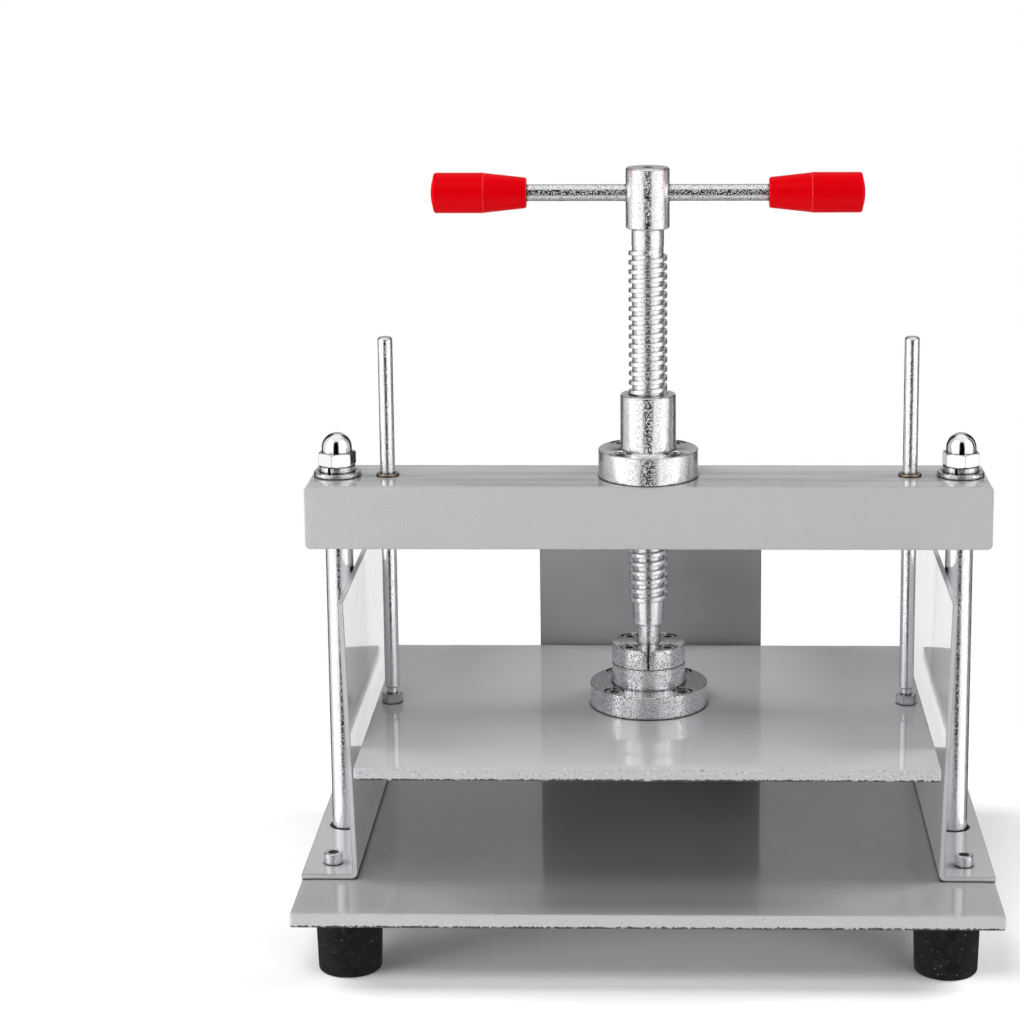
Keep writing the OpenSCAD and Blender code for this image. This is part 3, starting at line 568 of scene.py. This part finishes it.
def rounded(corners, closed=False, segments=4):
    """Points of an outline whose corners, given as (x, z, radius), are rounded by arcs."""
    points = []
    count = len(corners)
    for i, (x, z, radius) in enumerate(corners):
        here = Vector((x, z))
        if not radius or (not closed and i in (0, count - 1)):
            points.append(here)
            continue
        to_last = (Vector(corners[i - 1][:2]) - here).normalized()
        to_next = (Vector(corners[(i + 1) % count][:2]) - here).normalized()
        half = to_last.angle(to_next) / 2
        centre = here + (to_last + to_next).normalized() * radius / sin(half)
        start = here + to_last * radius / tan(half) - centre
        end = here + to_next * radius / tan(half) - centre
        points += [centre + radius * start.slerp(end, step / segments).normalized()
                   for step in range(segments + 1)]
    return points


def turned(points, closed=False, steps=96):
    """Shape turned about Z from outline points (radius, height)."""
    shape = bmesh.new()
    verts = [shape.verts.new((point[0], 0, point[1])) for point in points]
    run = verts + verts[:1] if closed else verts
    edges = [shape.edges.new(pair) for pair in zip(run, run[1:])]
    bmesh.ops.spin(shape, geom=verts + edges, cent=(0, 0, 0), axis=(0, 0, 1),
                   angle=2 * pi, steps=steps, use_merge=True)
    clean(shape)
    return shape


def middle_of(node):
    """X and Y of a node's middle."""
    low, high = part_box(node)
    return (low.x + high.x) / 2, (low.y + high.y) / 2


def clean(shape):
    """Merges doubles and turns the faces outwards."""
    bmesh.ops.remove_doubles(shape, verts=shape.verts, dist=WELD)
    bmesh.ops.recalc_face_normals(shape, faces=shape.faces)


def soften(shape, edges, width, segments):
    """Rounds edges."""
    bmesh.ops.bevel(shape, geom=edges, offset=width, offset_type="OFFSET", segments=segments,
                    profile=0.5, affect="EDGES", clamp_overlap=True, material=-1)


def add_shape(shape, other, matrix):
    """Adds a placed copy of another shape."""
    mesh = bpy.data.meshes.new("copy")
    other.to_mesh(mesh)
    mesh.transform(matrix)
    shape.from_mesh(mesh)
    bpy.data.meshes.remove(mesh)


def whole_copy(node):
    """A copy of a node's mesh with its triangles joined up."""
    shape = bmesh.new()
    shape.from_mesh(frame["nodes"][node].data)
    bmesh.ops.remove_doubles(shape, verts=shape.verts, dist=WELD)
    return shape


def soft_copy(node, width, segments=2):
    """A copy of a node's mesh whose sharp edges are rounded."""
    shape = whole_copy(node)
    bmesh.ops.dissolve_limit(shape, angle_limit=FLAT, verts=shape.verts, edges=shape.edges)
    sharp = [edge for edge in shape.edges
             if edge.is_manifold and edge.calc_face_angle() > SHARP]
    soften(shape, sharp, width, segments)
    bmesh.ops.remove_doubles(shape, verts=shape.verts, dist=WELD / 10)
    return shape


def body_of(node):
    return frame["nodes"][node]["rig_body"]


def add_piece(name, shape, slot, *nodes, centre=(0, 0, 0), tag="", sharp=38):
    """Makes a finished piece that stands for CAD nodes and rides on their body. Its material
    is the slot's, centred on centre and in the variant that tag names."""
    mesh = bpy.data.meshes.new(name)
    shape.to_mesh(mesh)
    shape.free()
    mesh.shade_smooth()
    mesh.set_sharp_from_angle(angle=radians(sharp))
    mesh.materials.append(finish_of(slot, centre, tag))
    piece = bpy.data.objects.new(name, mesh)
    bpy.context.scene.collection.objects.link(piece)
    normals = piece.modifiers.new("even_normals", "WEIGHTED_NORMAL")
    normals.keep_sharp = True
    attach(piece, body_of(nodes[0]))
    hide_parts(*nodes)
    return piece


def runs_along(edge, axis):
    run = edge.verts[1].co - edge.verts[0].co
    return abs(run[axis]) > 0.9 * run.length


def plate_blank(low, high, corner_r, corner_axis, edge_r, cell):
    """A block between two corners with round corners along one axis, soft edges and
    faces divided into cells."""
    size = high - low
    shape = bmesh.new()
    bmesh.ops.create_cube(shape, size=1.0)
    for axis in range(3):
        along = [edge for edge in shape.edges if runs_along(edge, axis)]
        cuts = ceil(size[axis] / cell) - 1
        if cuts > 0:
            bmesh.ops.subdivide_edges(shape, edges=along, cuts=cuts, use_grid_fill=True)
    bmesh.ops.scale(shape, vec=size, verts=shape.verts)
    bmesh.ops.translate(shape, vec=(low + high) / 2, verts=shape.verts)
    corners = [edge for edge in shape.edges
               if edge.calc_face_angle() > SQUARE and runs_along(edge, corner_axis)]
    soften(shape, corners, corner_r, 5)
    soften(shape, [edge for edge in shape.edges if edge.calc_face_angle() > SQUARE], edge_r, 3)
    return shape


def wave_edges(shape, low, high, seed, rim_width=1.6 * MM):
    """Sinks the skin near the outer edges by a slow noise, as thick enamel lies on them. It
    marks the skin within rim_width of the sides as rim, and their lower edge as arris."""
    look = bpy.context.scene.press_finish
    shape.normal_update()
    rim_mark = shape.verts.layers.float.new(RIM)
    arris_mark = shape.verts.layers.float.new(ARRIS)
    moves = []
    for vert in shape.verts:
        gaps = [min(vert.co[axis] - low[axis], high[axis] - vert.co[axis]) for axis in range(3)]
        nearness = max(0.0, 1 - sorted(gaps)[1] / WAVE_REACH)
        spot = Vector((vert.co.x, vert.co.y, vert.co.z * 2)) / look.wave_length
        swell = 0.5 + 0.5 * noise.noise(spot + Vector((seed, 0, 0)))
        ripple = 0.5 + 0.5 * noise.noise(spot * 2.6 + Vector((0, seed, 0)))
        depth = look.wave_height * nearness * (0.7 * swell + 0.3 * ripple)
        moves.append((vert, -vert.normal * depth))
        side_gap = min(gaps[:2])
        vert[rim_mark] = max(0.0, 1 - side_gap / rim_width) if rim_width else 0.0
        at_arris = side_gap < ARRIS_WIDTH and vert.co.z < low.z + ARRIS_WIDTH
        vert[arris_mark] = 1.0 if rim_width and at_arris else 0.0
    for vert, move in moves:
        vert.co += move


def drilled(shape, holes, z_low, z_high):
    """The shape with round holes along Z, given as (x, y, diameter)."""
    blank = bpy.data.objects.new("blank", bpy.data.meshes.new("blank"))
    drill = bpy.data.objects.new("drill", bpy.data.meshes.new("drill"))
    bits = bmesh.new()
    for x, y, diameter in holes:
        bmesh.ops.create_cone(bits, cap_ends=True, segments=48, radius1=diameter / 2,
                              radius2=diameter / 2, depth=z_high - z_low,
                              matrix=Matrix.Translation((x, y, (z_low + z_high) / 2)))
    shape.to_mesh(blank.data)
    bits.to_mesh(drill.data)
    shape.free()
    bits.free()
    for helper in (blank, drill):
        bpy.context.scene.collection.objects.link(helper)
    cut = blank.modifiers.new("holes", "BOOLEAN")
    cut.operation = "DIFFERENCE"
    cut.solver = "EXACT"
    cut.object = drill
    bpy.context.view_layer.update()
    done = blank.evaluated_get(bpy.context.evaluated_depsgraph_get()).to_mesh()
    result = bmesh.new()
    result.from_mesh(done)
    for helper in (blank, drill):
        data = helper.data
        bpy.data.objects.remove(helper)
        bpy.data.meshes.remove(data)
    return result


def both_sides(x, diameter):
    """Holes at x and -x on the line through the columns."""
    return [(-x, AXIS_Y, diameter), (x, AXIS_Y, diameter)]


def four_holes(pcd, diameter):
    reach = pcd / 2 * cos(pi / 4)
    return [(sx * reach, AXIS_Y + sy * reach, diameter) for sx in (-1, 1) for sy in (-1, 1)]


class PRESS_OT_plates(bpy.types.Operator):
    """Base plate, press plate and beam in grey enamel with wavy edges"""

    bl_idname = "press.plates"
    bl_label = "Plates and beam"

    def execute(self, context):
        shape, bottom, top = self.plate("base_plate", corner_r=1.5, corner_axis=2, edge_r=1.0,
                                        cell=4, seed=3.0)
        columns = both_sides(COLUMN_X, COLUMN_BOLT_HOLE)
        shape = drilled(shape, columns, bottom - PAST, top + PAST)
        feet = [(*middle_of(node), M6_HOLE) for node in FEET]
        shape = drilled(shape, feet, bottom - PAST, top - FOOT_HOLE_ROOF)
        guides = [(sx * SIDE_SCREW_X, y, M6_HOLE) for sx in (-1, 1) for y in SIDE_SCREW_YS]
        guides += [(sx * BACK_SCREW_X, BACK_SCREW_Y, M6_HOLE) for sx in (-1, 1)]
        shape = drilled(shape, guides, top - GUIDE_HOLE_DEPTH, top + PAST)
        add_piece("enamelled_base_plate", shape, "grey_enamel", "base_plate")

        shape, bottom, top = self.plate("press_plate", corner_r=1.5, corner_axis=2, edge_r=0.9,
                                        cell=4, seed=17.0)
        holes = both_sides(ROD_X, M6_HOLE) + four_holes(SOCKET_CIRCLE, M6_HOLE)
        shape = drilled(shape, holes, bottom - PAST, top + PAST)
        add_piece("enamelled_press_plate", shape, "grey_enamel", "press_plate", tag="_press")

        shape, bottom, top = self.plate("beam", corner_r=3, corner_axis=1, edge_r=0.8, cell=5,
                                        seed=31.0, rim_width=0.0)
        holes = both_sides(COLUMN_X, COLUMN_END_HOLE) + both_sides(ROD_X, BUSH_HOLE)
        holes.append((0, AXIS_Y, SLEEVE_HOLE))
        shape = drilled(shape, holes, bottom - PAST, top + PAST)
        shape = drilled(shape, four_holes(NUT_CIRCLE, M6_HOLE), top - NUT_HOLE_DEPTH, top + PAST)
        add_piece("enamelled_beam", shape, "grey_enamel", "beam", tag="_beam")
        return {"FINISHED"}

    def plate(self, node, corner_r, corner_axis, edge_r, cell, **waves):
        """A node's box as a plate with soft, wavy edges, and its lowest and highest Z. Radii
        and cells are in millimetres."""
        low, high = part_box(node)
        shape = plate_blank(low, high, corner_r * MM, corner_axis, edge_r * MM, cell * MM)
        wave_edges(shape, low, high, **waves)
        return shape, low.z, high.z


class PRESS_OT_guides(bpy.types.Operator):
    """Paper guides of bent sheet in pale enamel"""

    bl_idname = "press.guides"
    bl_label = "Paper guides"

    def execute(self, context):
        for node in ("side_guide_left", "side_guide_right", "back_guide"):
            shape = soft_copy(node, 0.4 * MM, 3)
            # The back guide takes a copy of the pale enamel painted darker as shade
            tag = "_back" if node == "back_guide" else ""
            add_piece("enamelled_" + node, shape, "pale_enamel", node, tag=tag)
        return {"FINISHED"}


class PRESS_OT_feet(bpy.types.Operator):
    """Rubber feet with a moulded rim and a recess"""

    bl_idname = "press.feet"
    bl_label = "Rubber feet"

    def execute(self, context):
        bore_r, recess_r, recess_h, taper = 3.1 * MM, 8 * MM, 14 * MM, 1 * MM
        for node in FEET:
            low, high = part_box(node)
            top_r = (high.x - low.x) / 2
            height = high.z - low.z
            corners = [
                (bore_r, recess_h, 0), (recess_r, recess_h, 0.8 * MM), (recess_r, 0, 0.5 * MM),
                (top_r - taper, 0, 1.3 * MM), (top_r, height, 1.2 * MM),
                (bore_r, height, 0.3 * MM)]
            shape = turned(rounded(corners, closed=True), closed=True, steps=72)
            bmesh.ops.translate(shape, vec=(*middle_of(node), low.z), verts=shape.verts)
            add_piece("moulded_" + node, shape, "black_rubber", node)
        return {"FINISHED"}


class PRESS_OT_lead_screw(bpy.types.Operator):
    """Lead screw: a turned core and one unbroken ridge of thread wound round it"""

    bl_idname = "press.lead_screw"
    bl_label = "Lead screw"

    def execute(self, context):
        size = context.scene.press_screw
        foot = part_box("lead_screw")[LOW].z
        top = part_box("lead_screw")[HIGH].z
        hub_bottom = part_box("handle_hub")[LOW].z
        thread_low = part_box("press_plate")[HIGH].z + size.thread_above_plate
        thread_high = thread_low + size.turns * size.pitch + 2 * size.thread_lead
        head_top = foot + size.head_h
        stub_low = thread_low - size.stub_h
        soft, softer = 0.3 * MM, 0.9 * MM
        corners = [
            (0, foot, 0), (size.head_d / 2, foot, soft), (size.head_d / 2, head_top, soft),
            (size.neck_d / 2, head_top, 0), (size.neck_d / 2, stub_low, 0),
            (size.stub_d / 2, stub_low, softer), (size.stub_d / 2, thread_low, 0),
            (size.core_d / 2, thread_low, 0), (size.core_d / 2, thread_high, 0),
            (size.top_neck_d / 2, thread_high, 0.1 * MM), (size.top_neck_d / 2, hub_bottom, 0),
            (size.spigot_d / 2, hub_bottom, 0), (size.spigot_d / 2, top, softer), (0, top, 0)]
        shape = turned(rounded(corners))
        self.wind_thread(shape, size, thread_low + size.thread_lead)
        bmesh.ops.translate(shape, vec=(0, AXIS_Y, 0), verts=shape.verts)
        add_piece("turned_lead_screw", shape, "thread_steel", "lead_screw",
                  centre=(0, AXIS_Y, 0), sharp=50)
        return {"FINISHED"}

    def wind_thread(self, shape, size, z_low):
        """Winds one turn of the ridge, stacks its copies and lets the ridge run out. Its root
        is sunk in the core."""
        steps_a_turn = 72
        root = size.core_d / 2 - 0.25 * MM
        crest = size.thread_d / 2
        crest_soft = 0.5 * MM
        high = z_low + size.pitch
        low = high - size.crest - 2 * size.flank
        corners = [(root, low, 0), (crest, low + size.flank, crest_soft),
                   (crest, high - size.flank, crest_soft), (root, high, 0)]
        points = rounded(corners, segments=3)
        coil = bmesh.new()
        verts = [coil.verts.new((p.x, 0, p.y)) for p in points]
        edges = [coil.edges.new(pair) for pair in zip(verts, verts[1:] + verts[:1])]
        bmesh.ops.spin(coil, geom=verts + edges, cent=(0, 0, 0), axis=(0, 0, 1),
                       dvec=(0, 0, size.pitch / steps_a_turn), angle=2 * pi,
                       steps=steps_a_turn)
        ridge = bmesh.new()
        for turn in range(size.turns - 1):
            add_shape(ridge, coil, Matrix.Translation((0, 0, turn * size.pitch)))
        coil.free()
        bmesh.ops.remove_doubles(ridge, verts=ridge.verts, dist=WELD)
        bmesh.ops.holes_fill(ridge, edges=ridge.edges, sides=0)
        clean(ridge)
        middle = (low + high) / 2
        for vert in ridge.verts:
            angle = Vector((1, 0)).angle_signed(vert.co.xy, 0)
            part = (-angle / (2 * pi)) % 1
            turn = part + round((vert.co.z - middle) / size.pitch - part)
            run_out = max(0.0, min(1.0, 2 * turn, 2 * (size.turns - 1 - turn)))
            radius = vert.co.xy.length
            wanted = root + (radius - root) * max(0.1, run_out)
            vert.co.xy *= wanted / radius
        add_shape(shape, ridge, Matrix.Identity(4))
        ridge.free()


class PRESS_OT_turned_parts(bpy.types.Operator):
    """Nut, socket flange, split collar and hub in turned steel, and the bronze thrust pad"""

    bl_idname = "press.turned_parts"
    bl_label = "Turned parts"

    def execute(self, context):
        centre = (0, AXIS_Y, 0)
        for node, tag in (("screw_nut", ""), ("handle_hub", ""), ("collar_half_left", "_socket"),
                          ("collar_half_right", "_socket"), ("socket_flange", "_socket")):
            softened = node in ("socket_flange", "handle_hub")
            shape = soft_copy(node, 0.22 * MM) if softened else whole_copy(node)
            add_piece("turned_" + node, shape, "turned_steel", node, centre=centre, tag=tag)
        shape = soft_copy("thrust_pad", 0.2 * MM)
        add_piece("turned_thrust_pad", shape, "bronze", "thrust_pad", centre=centre)
        return {"FINISHED"}


class PRESS_OT_bars(bpy.types.Operator):
    """Columns, guide rods, their bushes and the cross bar"""

    bl_idname = "press.bars"
    bl_label = "Columns, rods and bar"

    def execute(self, context):
        for side, sign in (("left", -1), ("right", 1)):
            for node, x in (("column_", COLUMN_X), ("guide_rod_", ROD_X)):
                shape = soft_copy(node + side, 0.2 * MM)
                add_piece("ground_" + node + side, shape, "ground_steel", node + side,
                          centre=(sign * x, AXIS_Y, 0), tag="_" + node + side)
            shape = soft_copy("guide_bush_" + side, 0.15 * MM)
            add_piece("turned_guide_bush_" + side, shape, "bronze", "guide_bush_" + side,
                      centre=(sign * ROD_X, AXIS_Y, 0), tag="_" + side)
        shape = soft_copy("handle_bar", 0.2 * MM)
        add_piece("ground_handle_bar", shape, "ground_steel", "handle_bar",
                  centre=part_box("handle_bar")[LOW], tag="_bar")
        return {"FINISHED"}


class PRESS_OT_grips(bpy.types.Operator):
    """Red grips with a seam at the taper and a low dome at the end"""

    bl_idname = "press.grips"
    bl_label = "Grips"

    def execute(self, context):
        size = context.scene.press_handle
        bar_low, bar_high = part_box("handle_bar")
        bar_z = (bar_low.z + bar_high.z) / 2
        bore_play, dome_inset, dome_steps = 0.5 * MM, 1.2 * MM, 8
        for side, sign in (("left", -1), ("right", 1)):
            low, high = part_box("grip_" + side)
            length = high.x - low.x
            inner = min(abs(low.x), abs(high.x))
            bore_l = bar_high.x - inner + bore_play
            thick = size.grip_d / 2
            bore = size.bore_d / 2
            end = length - size.dome_h
            rim = thick - dome_inset
            dome_r = (rim ** 2 + size.dome_h ** 2) / (2 * size.dome_h)
            corners = [
                (0, bore_l, 0), (bore, bore_l, 0), (bore, 0, 0.4 * MM),
                (size.grip_thin_d / 2, 0, 1.1 * MM),
                (thick - size.seam, size.taper_l - 0.1 * MM, 0.05 * MM),
                (thick, size.taper_l + 0.1 * MM, 0.12 * MM), (thick, end, 1.4 * MM)]
            points = rounded(corners + [(rim, end + 0.25 * MM, 0)])[:-1]
            for step in range(dome_steps, -1, -1):
                radius = rim * 0.93 * step / dome_steps
                points.append((radius, length - dome_r + (dome_r ** 2 - radius ** 2) ** 0.5))
            shape = turned(points)
            turn = Matrix.Rotation(sign * pi / 2, 4, "Y")
            shape.transform(Matrix.Translation((0, AXIS_Y, bar_z)) @ turn
                            @ Matrix.Translation((0, 0, inner)))
            add_piece("moulded_grip_" + side, shape, "red_grip", "grip_" + side)
        return {"FINISHED"}


class PRESS_OT_fasteners(bpy.types.Operator):
    """Nuts, washers and screws"""

    bl_idname = "press.fasteners"
    bl_label = "Nuts, washers and screws"

    def execute(self, context):
        for node in ("side_guide_screws", "back_guide_screws", "nut_screws", "socket_screws",
                     "collar_screws", "foot_screws", "column_bolts", "flat_washers",
                     "spring_washers", "rod_lock_nuts"):
            shape = soft_copy(node, 0.14 * MM)
            add_piece("plated_" + node, shape, "zinc_fastener", node)
        for node in ("acorn_nut_left", "acorn_nut_right"):
            shape = soft_copy(node, 0.25 * MM)
            add_piece("plated_" + node, shape, "nickel_nut", node)
        shape = soft_copy("hub_set_screw", 0.1 * MM)
        add_piece("black_hub_set_screw", shape, "black_screw", "hub_set_screw")
        return {"FINISHED"}


class PRESS_OT_stage(bpy.types.Operator):
    """Pale floor, white surroundings, soft lamps and the camera"""

    bl_idname = "press.stage"
    bl_label = "Stage"

    def execute(self, context):
        stage = context.scene.press_stage
        self.lay_floor(context, stage)
        self.light_world(context, stage)
        powers = (*stage.front_power, *stage.side_power, stage.top_power)
        for (name, place, height_share), power in zip(LAMPS, powers):
            self.hang_lamp(context, name, Vector(place), power, height_share)
        self.place_camera(context, stage)
        context.scene.view_settings.view_transform = "Standard"
        return {"FINISHED"}

    def lay_floor(self, context, stage):
        shape = bmesh.new()
        bmesh.ops.create_circle(shape, cap_ends=True, segments=96, radius=stage.floor_radius)
        mesh = bpy.data.meshes.new("floor")
        shape.to_mesh(mesh)
        shape.free()
        floor = bpy.data.objects.new("floor", mesh)
        context.scene.collection.objects.link(floor)
        mesh.materials.append(self.floor_finish(stage))

    def floor_finish(self, stage):
        """Pale floor that keeps the shadow near the press and clears further out, and that
        lets gloss see the room below. To the camera it is paler by the floor's gain."""
        finish = Finish("floor_paper")
        seen, gloss = finish.rays()
        tone = finish.blended(finish.grain(400 * MM, 2), (0.90, 0.90, 0.90), (0.93, 0.93, 0.93))
        gain = finish.node("ShaderNodeVectorMath")
        gain.operation = "SCALE"
        finish.link(tone, gain.inputs[0])
        finish.link(finish.span(seen, 0, 1, 1, stage.floor_gain), gain.inputs["Scale"])
        pale = finish.node("ShaderNodeBsdfDiffuse")
        finish.link(gain.outputs["Vector"], pale.inputs["Color"])
        reach = finish.node("ShaderNodeVectorMath")
        reach.operation = "LENGTH"
        finish.link(finish.place, reach.inputs[0])
        far = finish.span(reach.outputs["Value"], SHADOW_NEAR, SHADOW_FAR)
        cleared = finish.maths("MAXIMUM", finish.maths("MULTIPLY", far, seen), gloss)
        clear = finish.node("ShaderNodeBsdfTransparent")
        surface = finish.mixed(cleared, pale.outputs["BSDF"], clear.outputs["BSDF"])
        finish.link(surface, finish.tree.nodes["Material Output"].inputs["Surface"])
        finish.tree.nodes.remove(finish.shader)
        return finish.material

    def light_world(self, context, stage):
        """White to the camera, and a faint even light on matt surfaces. Glossy and clear ones
        see a room with screens round it, pale low down in front, dark right underneath and
        further up behind, and white overhead."""
        world = bpy.data.worlds.new("studio")
        context.scene.world = world
        world.use_nodes = True
        sky = Wiring(world.node_tree)
        sky.tree.nodes.clear()
        x, y, z = sky.split(sky.node("ShaderNodeTexCoord").outputs["Generated"])
        angle = sky.maths("ARCTAN2", x, sky.maths("MULTIPLY", y, -1.0))
        compass = sky.maths("ADD", sky.maths("DIVIDE", angle, 2 * pi), 0.5)
        above, below = [self.walls(sky, compass, behind) for behind in BEHIND_GREYS]
        room = sky.blended(sky.span(z, *HORIZON), above, below)
        underneath = sky.maths("SUBTRACT", sky.maths("MULTIPLY", y, 0.25), z)
        for value, start, full, grey in ((z, -0.50, -0.60, 0.8), (underneath, 0.80, 0.88, 0.02),
                                         (z, 0.72, 0.86, 1.0)):
            room = sky.blended(sky.span(value, start, full), room, (grey, grey, grey))

        lights = []
        for colour, strength in ((WHITE, stage.ambient), (room, 1.0), (WHITE, 1.0)):
            light = sky.node("ShaderNodeBackground")
            sky.feed(light.inputs["Color"], colour)
            light.inputs["Strength"].default_value = strength
            lights.append(light.outputs["Background"])
        ambient, reflected, white = lights
        seen, gloss = sky.rays()
        surface = sky.mixed(seen, sky.mixed(gloss, ambient, reflected), white)
        sky.link(surface, sky.node("ShaderNodeOutputWorld").inputs["Surface"])

    def walls(self, sky, compass, behind):
        """Greys round the compass, with that grey behind."""
        ramp = sky.node("ShaderNodeValToRGB")
        points = ramp.color_ramp.elements
        stops = ((-180, behind), (-BEHIND_FROM, behind), *SCREENS, (BEHIND_FROM, behind),
                 (180, behind))
        while len(points) < len(stops):
            points.new(0.5)
        for point, (degrees, grey) in zip(points, stops):
            point.position = degrees / 360 + 0.5
            point.color = (grey, grey, grey, 1)
        sky.link(compass, ramp.inputs["Fac"])
        return ramp.outputs["Color"]

    def hang_lamp(self, context, name, place, power, height_share):
        """A square or flat lamp that lights the press and doesn't show in its gloss."""
        lamp = bpy.data.lights.new(name, "AREA")
        lamp.shape = "RECTANGLE"
        lamp.size = context.scene.press_stage.lamp_width
        lamp.size_y = lamp.size * height_share
        lamp.energy = power
        holder = bpy.data.objects.new(name, lamp)
        holder.visible_glossy = False
        turn = (LAMP_AIM - place).to_track_quat("-Z", "Y").to_matrix()
        holder.matrix_world = Matrix.Translation(place) @ turn.to_4x4()
        context.scene.collection.objects.link(holder)

    def place_camera(self, context, stage):
        pitch, yaw, roll = stage.camera_pitch, stage.camera_yaw, stage.camera_roll
        forward = Vector((sin(yaw) * cos(pitch), cos(yaw) * cos(pitch), -sin(pitch)))
        level = Vector((cos(yaw), -sin(yaw), 0))
        right = level * cos(roll) + level.cross(forward) * sin(roll)
        turn = Matrix((right, right.cross(forward), -forward)).transposed()
        lens = bpy.data.cameras.new("camera")
        lens.sensor_width = 36
        lens.lens = stage.lens
        lens.shift_x, lens.shift_y = stage.shift
        lens.clip_end = 50
        camera = bpy.data.objects.new("camera", lens)
        camera.matrix_world = Matrix.Translation(stage.camera_place) @ turn.to_4x4()
        context.scene.collection.objects.link(camera)
        context.scene.camera = camera


class PRESS_PT_panel(bpy.types.Panel):
    """Sizes, finishes and steps of the flat press"""

    bl_idname = "PRESS_PT_panel"
    bl_label = "Flat press"
    bl_space_type = "VIEW_3D"
    bl_region_type = "UI"
    bl_category = "Flat press"

    def draw(self, context):
        for group in GROUPS:
            box = self.layout.box()
            settings = getattr(context.scene, group)
            for name in settings.bl_rna.properties.keys():
                if name not in ("rna_type", "name"):
                    box.prop(settings, name)
        for step in STEPS:
            self.layout.operator(step.bl_idname)


GROUPS = {"press_finish": PressFinish, "press_screw": PressScrew,
          "press_handle": PressHandle, "press_stage": PressStage}
STEPS = (PRESS_OT_plates, PRESS_OT_guides, PRESS_OT_feet, PRESS_OT_lead_screw,
         PRESS_OT_turned_parts, PRESS_OT_bars, PRESS_OT_grips, PRESS_OT_fasteners,
         PRESS_OT_stage)


def register():
    for made in (*GROUPS.values(), *STEPS, PRESS_PT_panel):
        bpy.utils.register_class(made)
    for name, group in GROUPS.items():
        setattr(bpy.types.Scene, name, PointerProperty(type=group))


def unregister():
    for name in GROUPS:
        delattr(bpy.types.Scene, name)
    for made in (PRESS_PT_panel, *reversed(STEPS), *GROUPS.values()):
        bpy.utils.unregister_class(made)


def main():
    register()
    bpy.ops.press.plates()
    bpy.ops.press.guides()
    bpy.ops.press.feet()
    bpy.ops.press.lead_screw()
    bpy.ops.press.turned_parts()
    bpy.ops.press.bars()
    bpy.ops.press.grips()
    bpy.ops.press.fasteners()
    bpy.ops.press.stage()


if __name__ == "__main__":
    main()
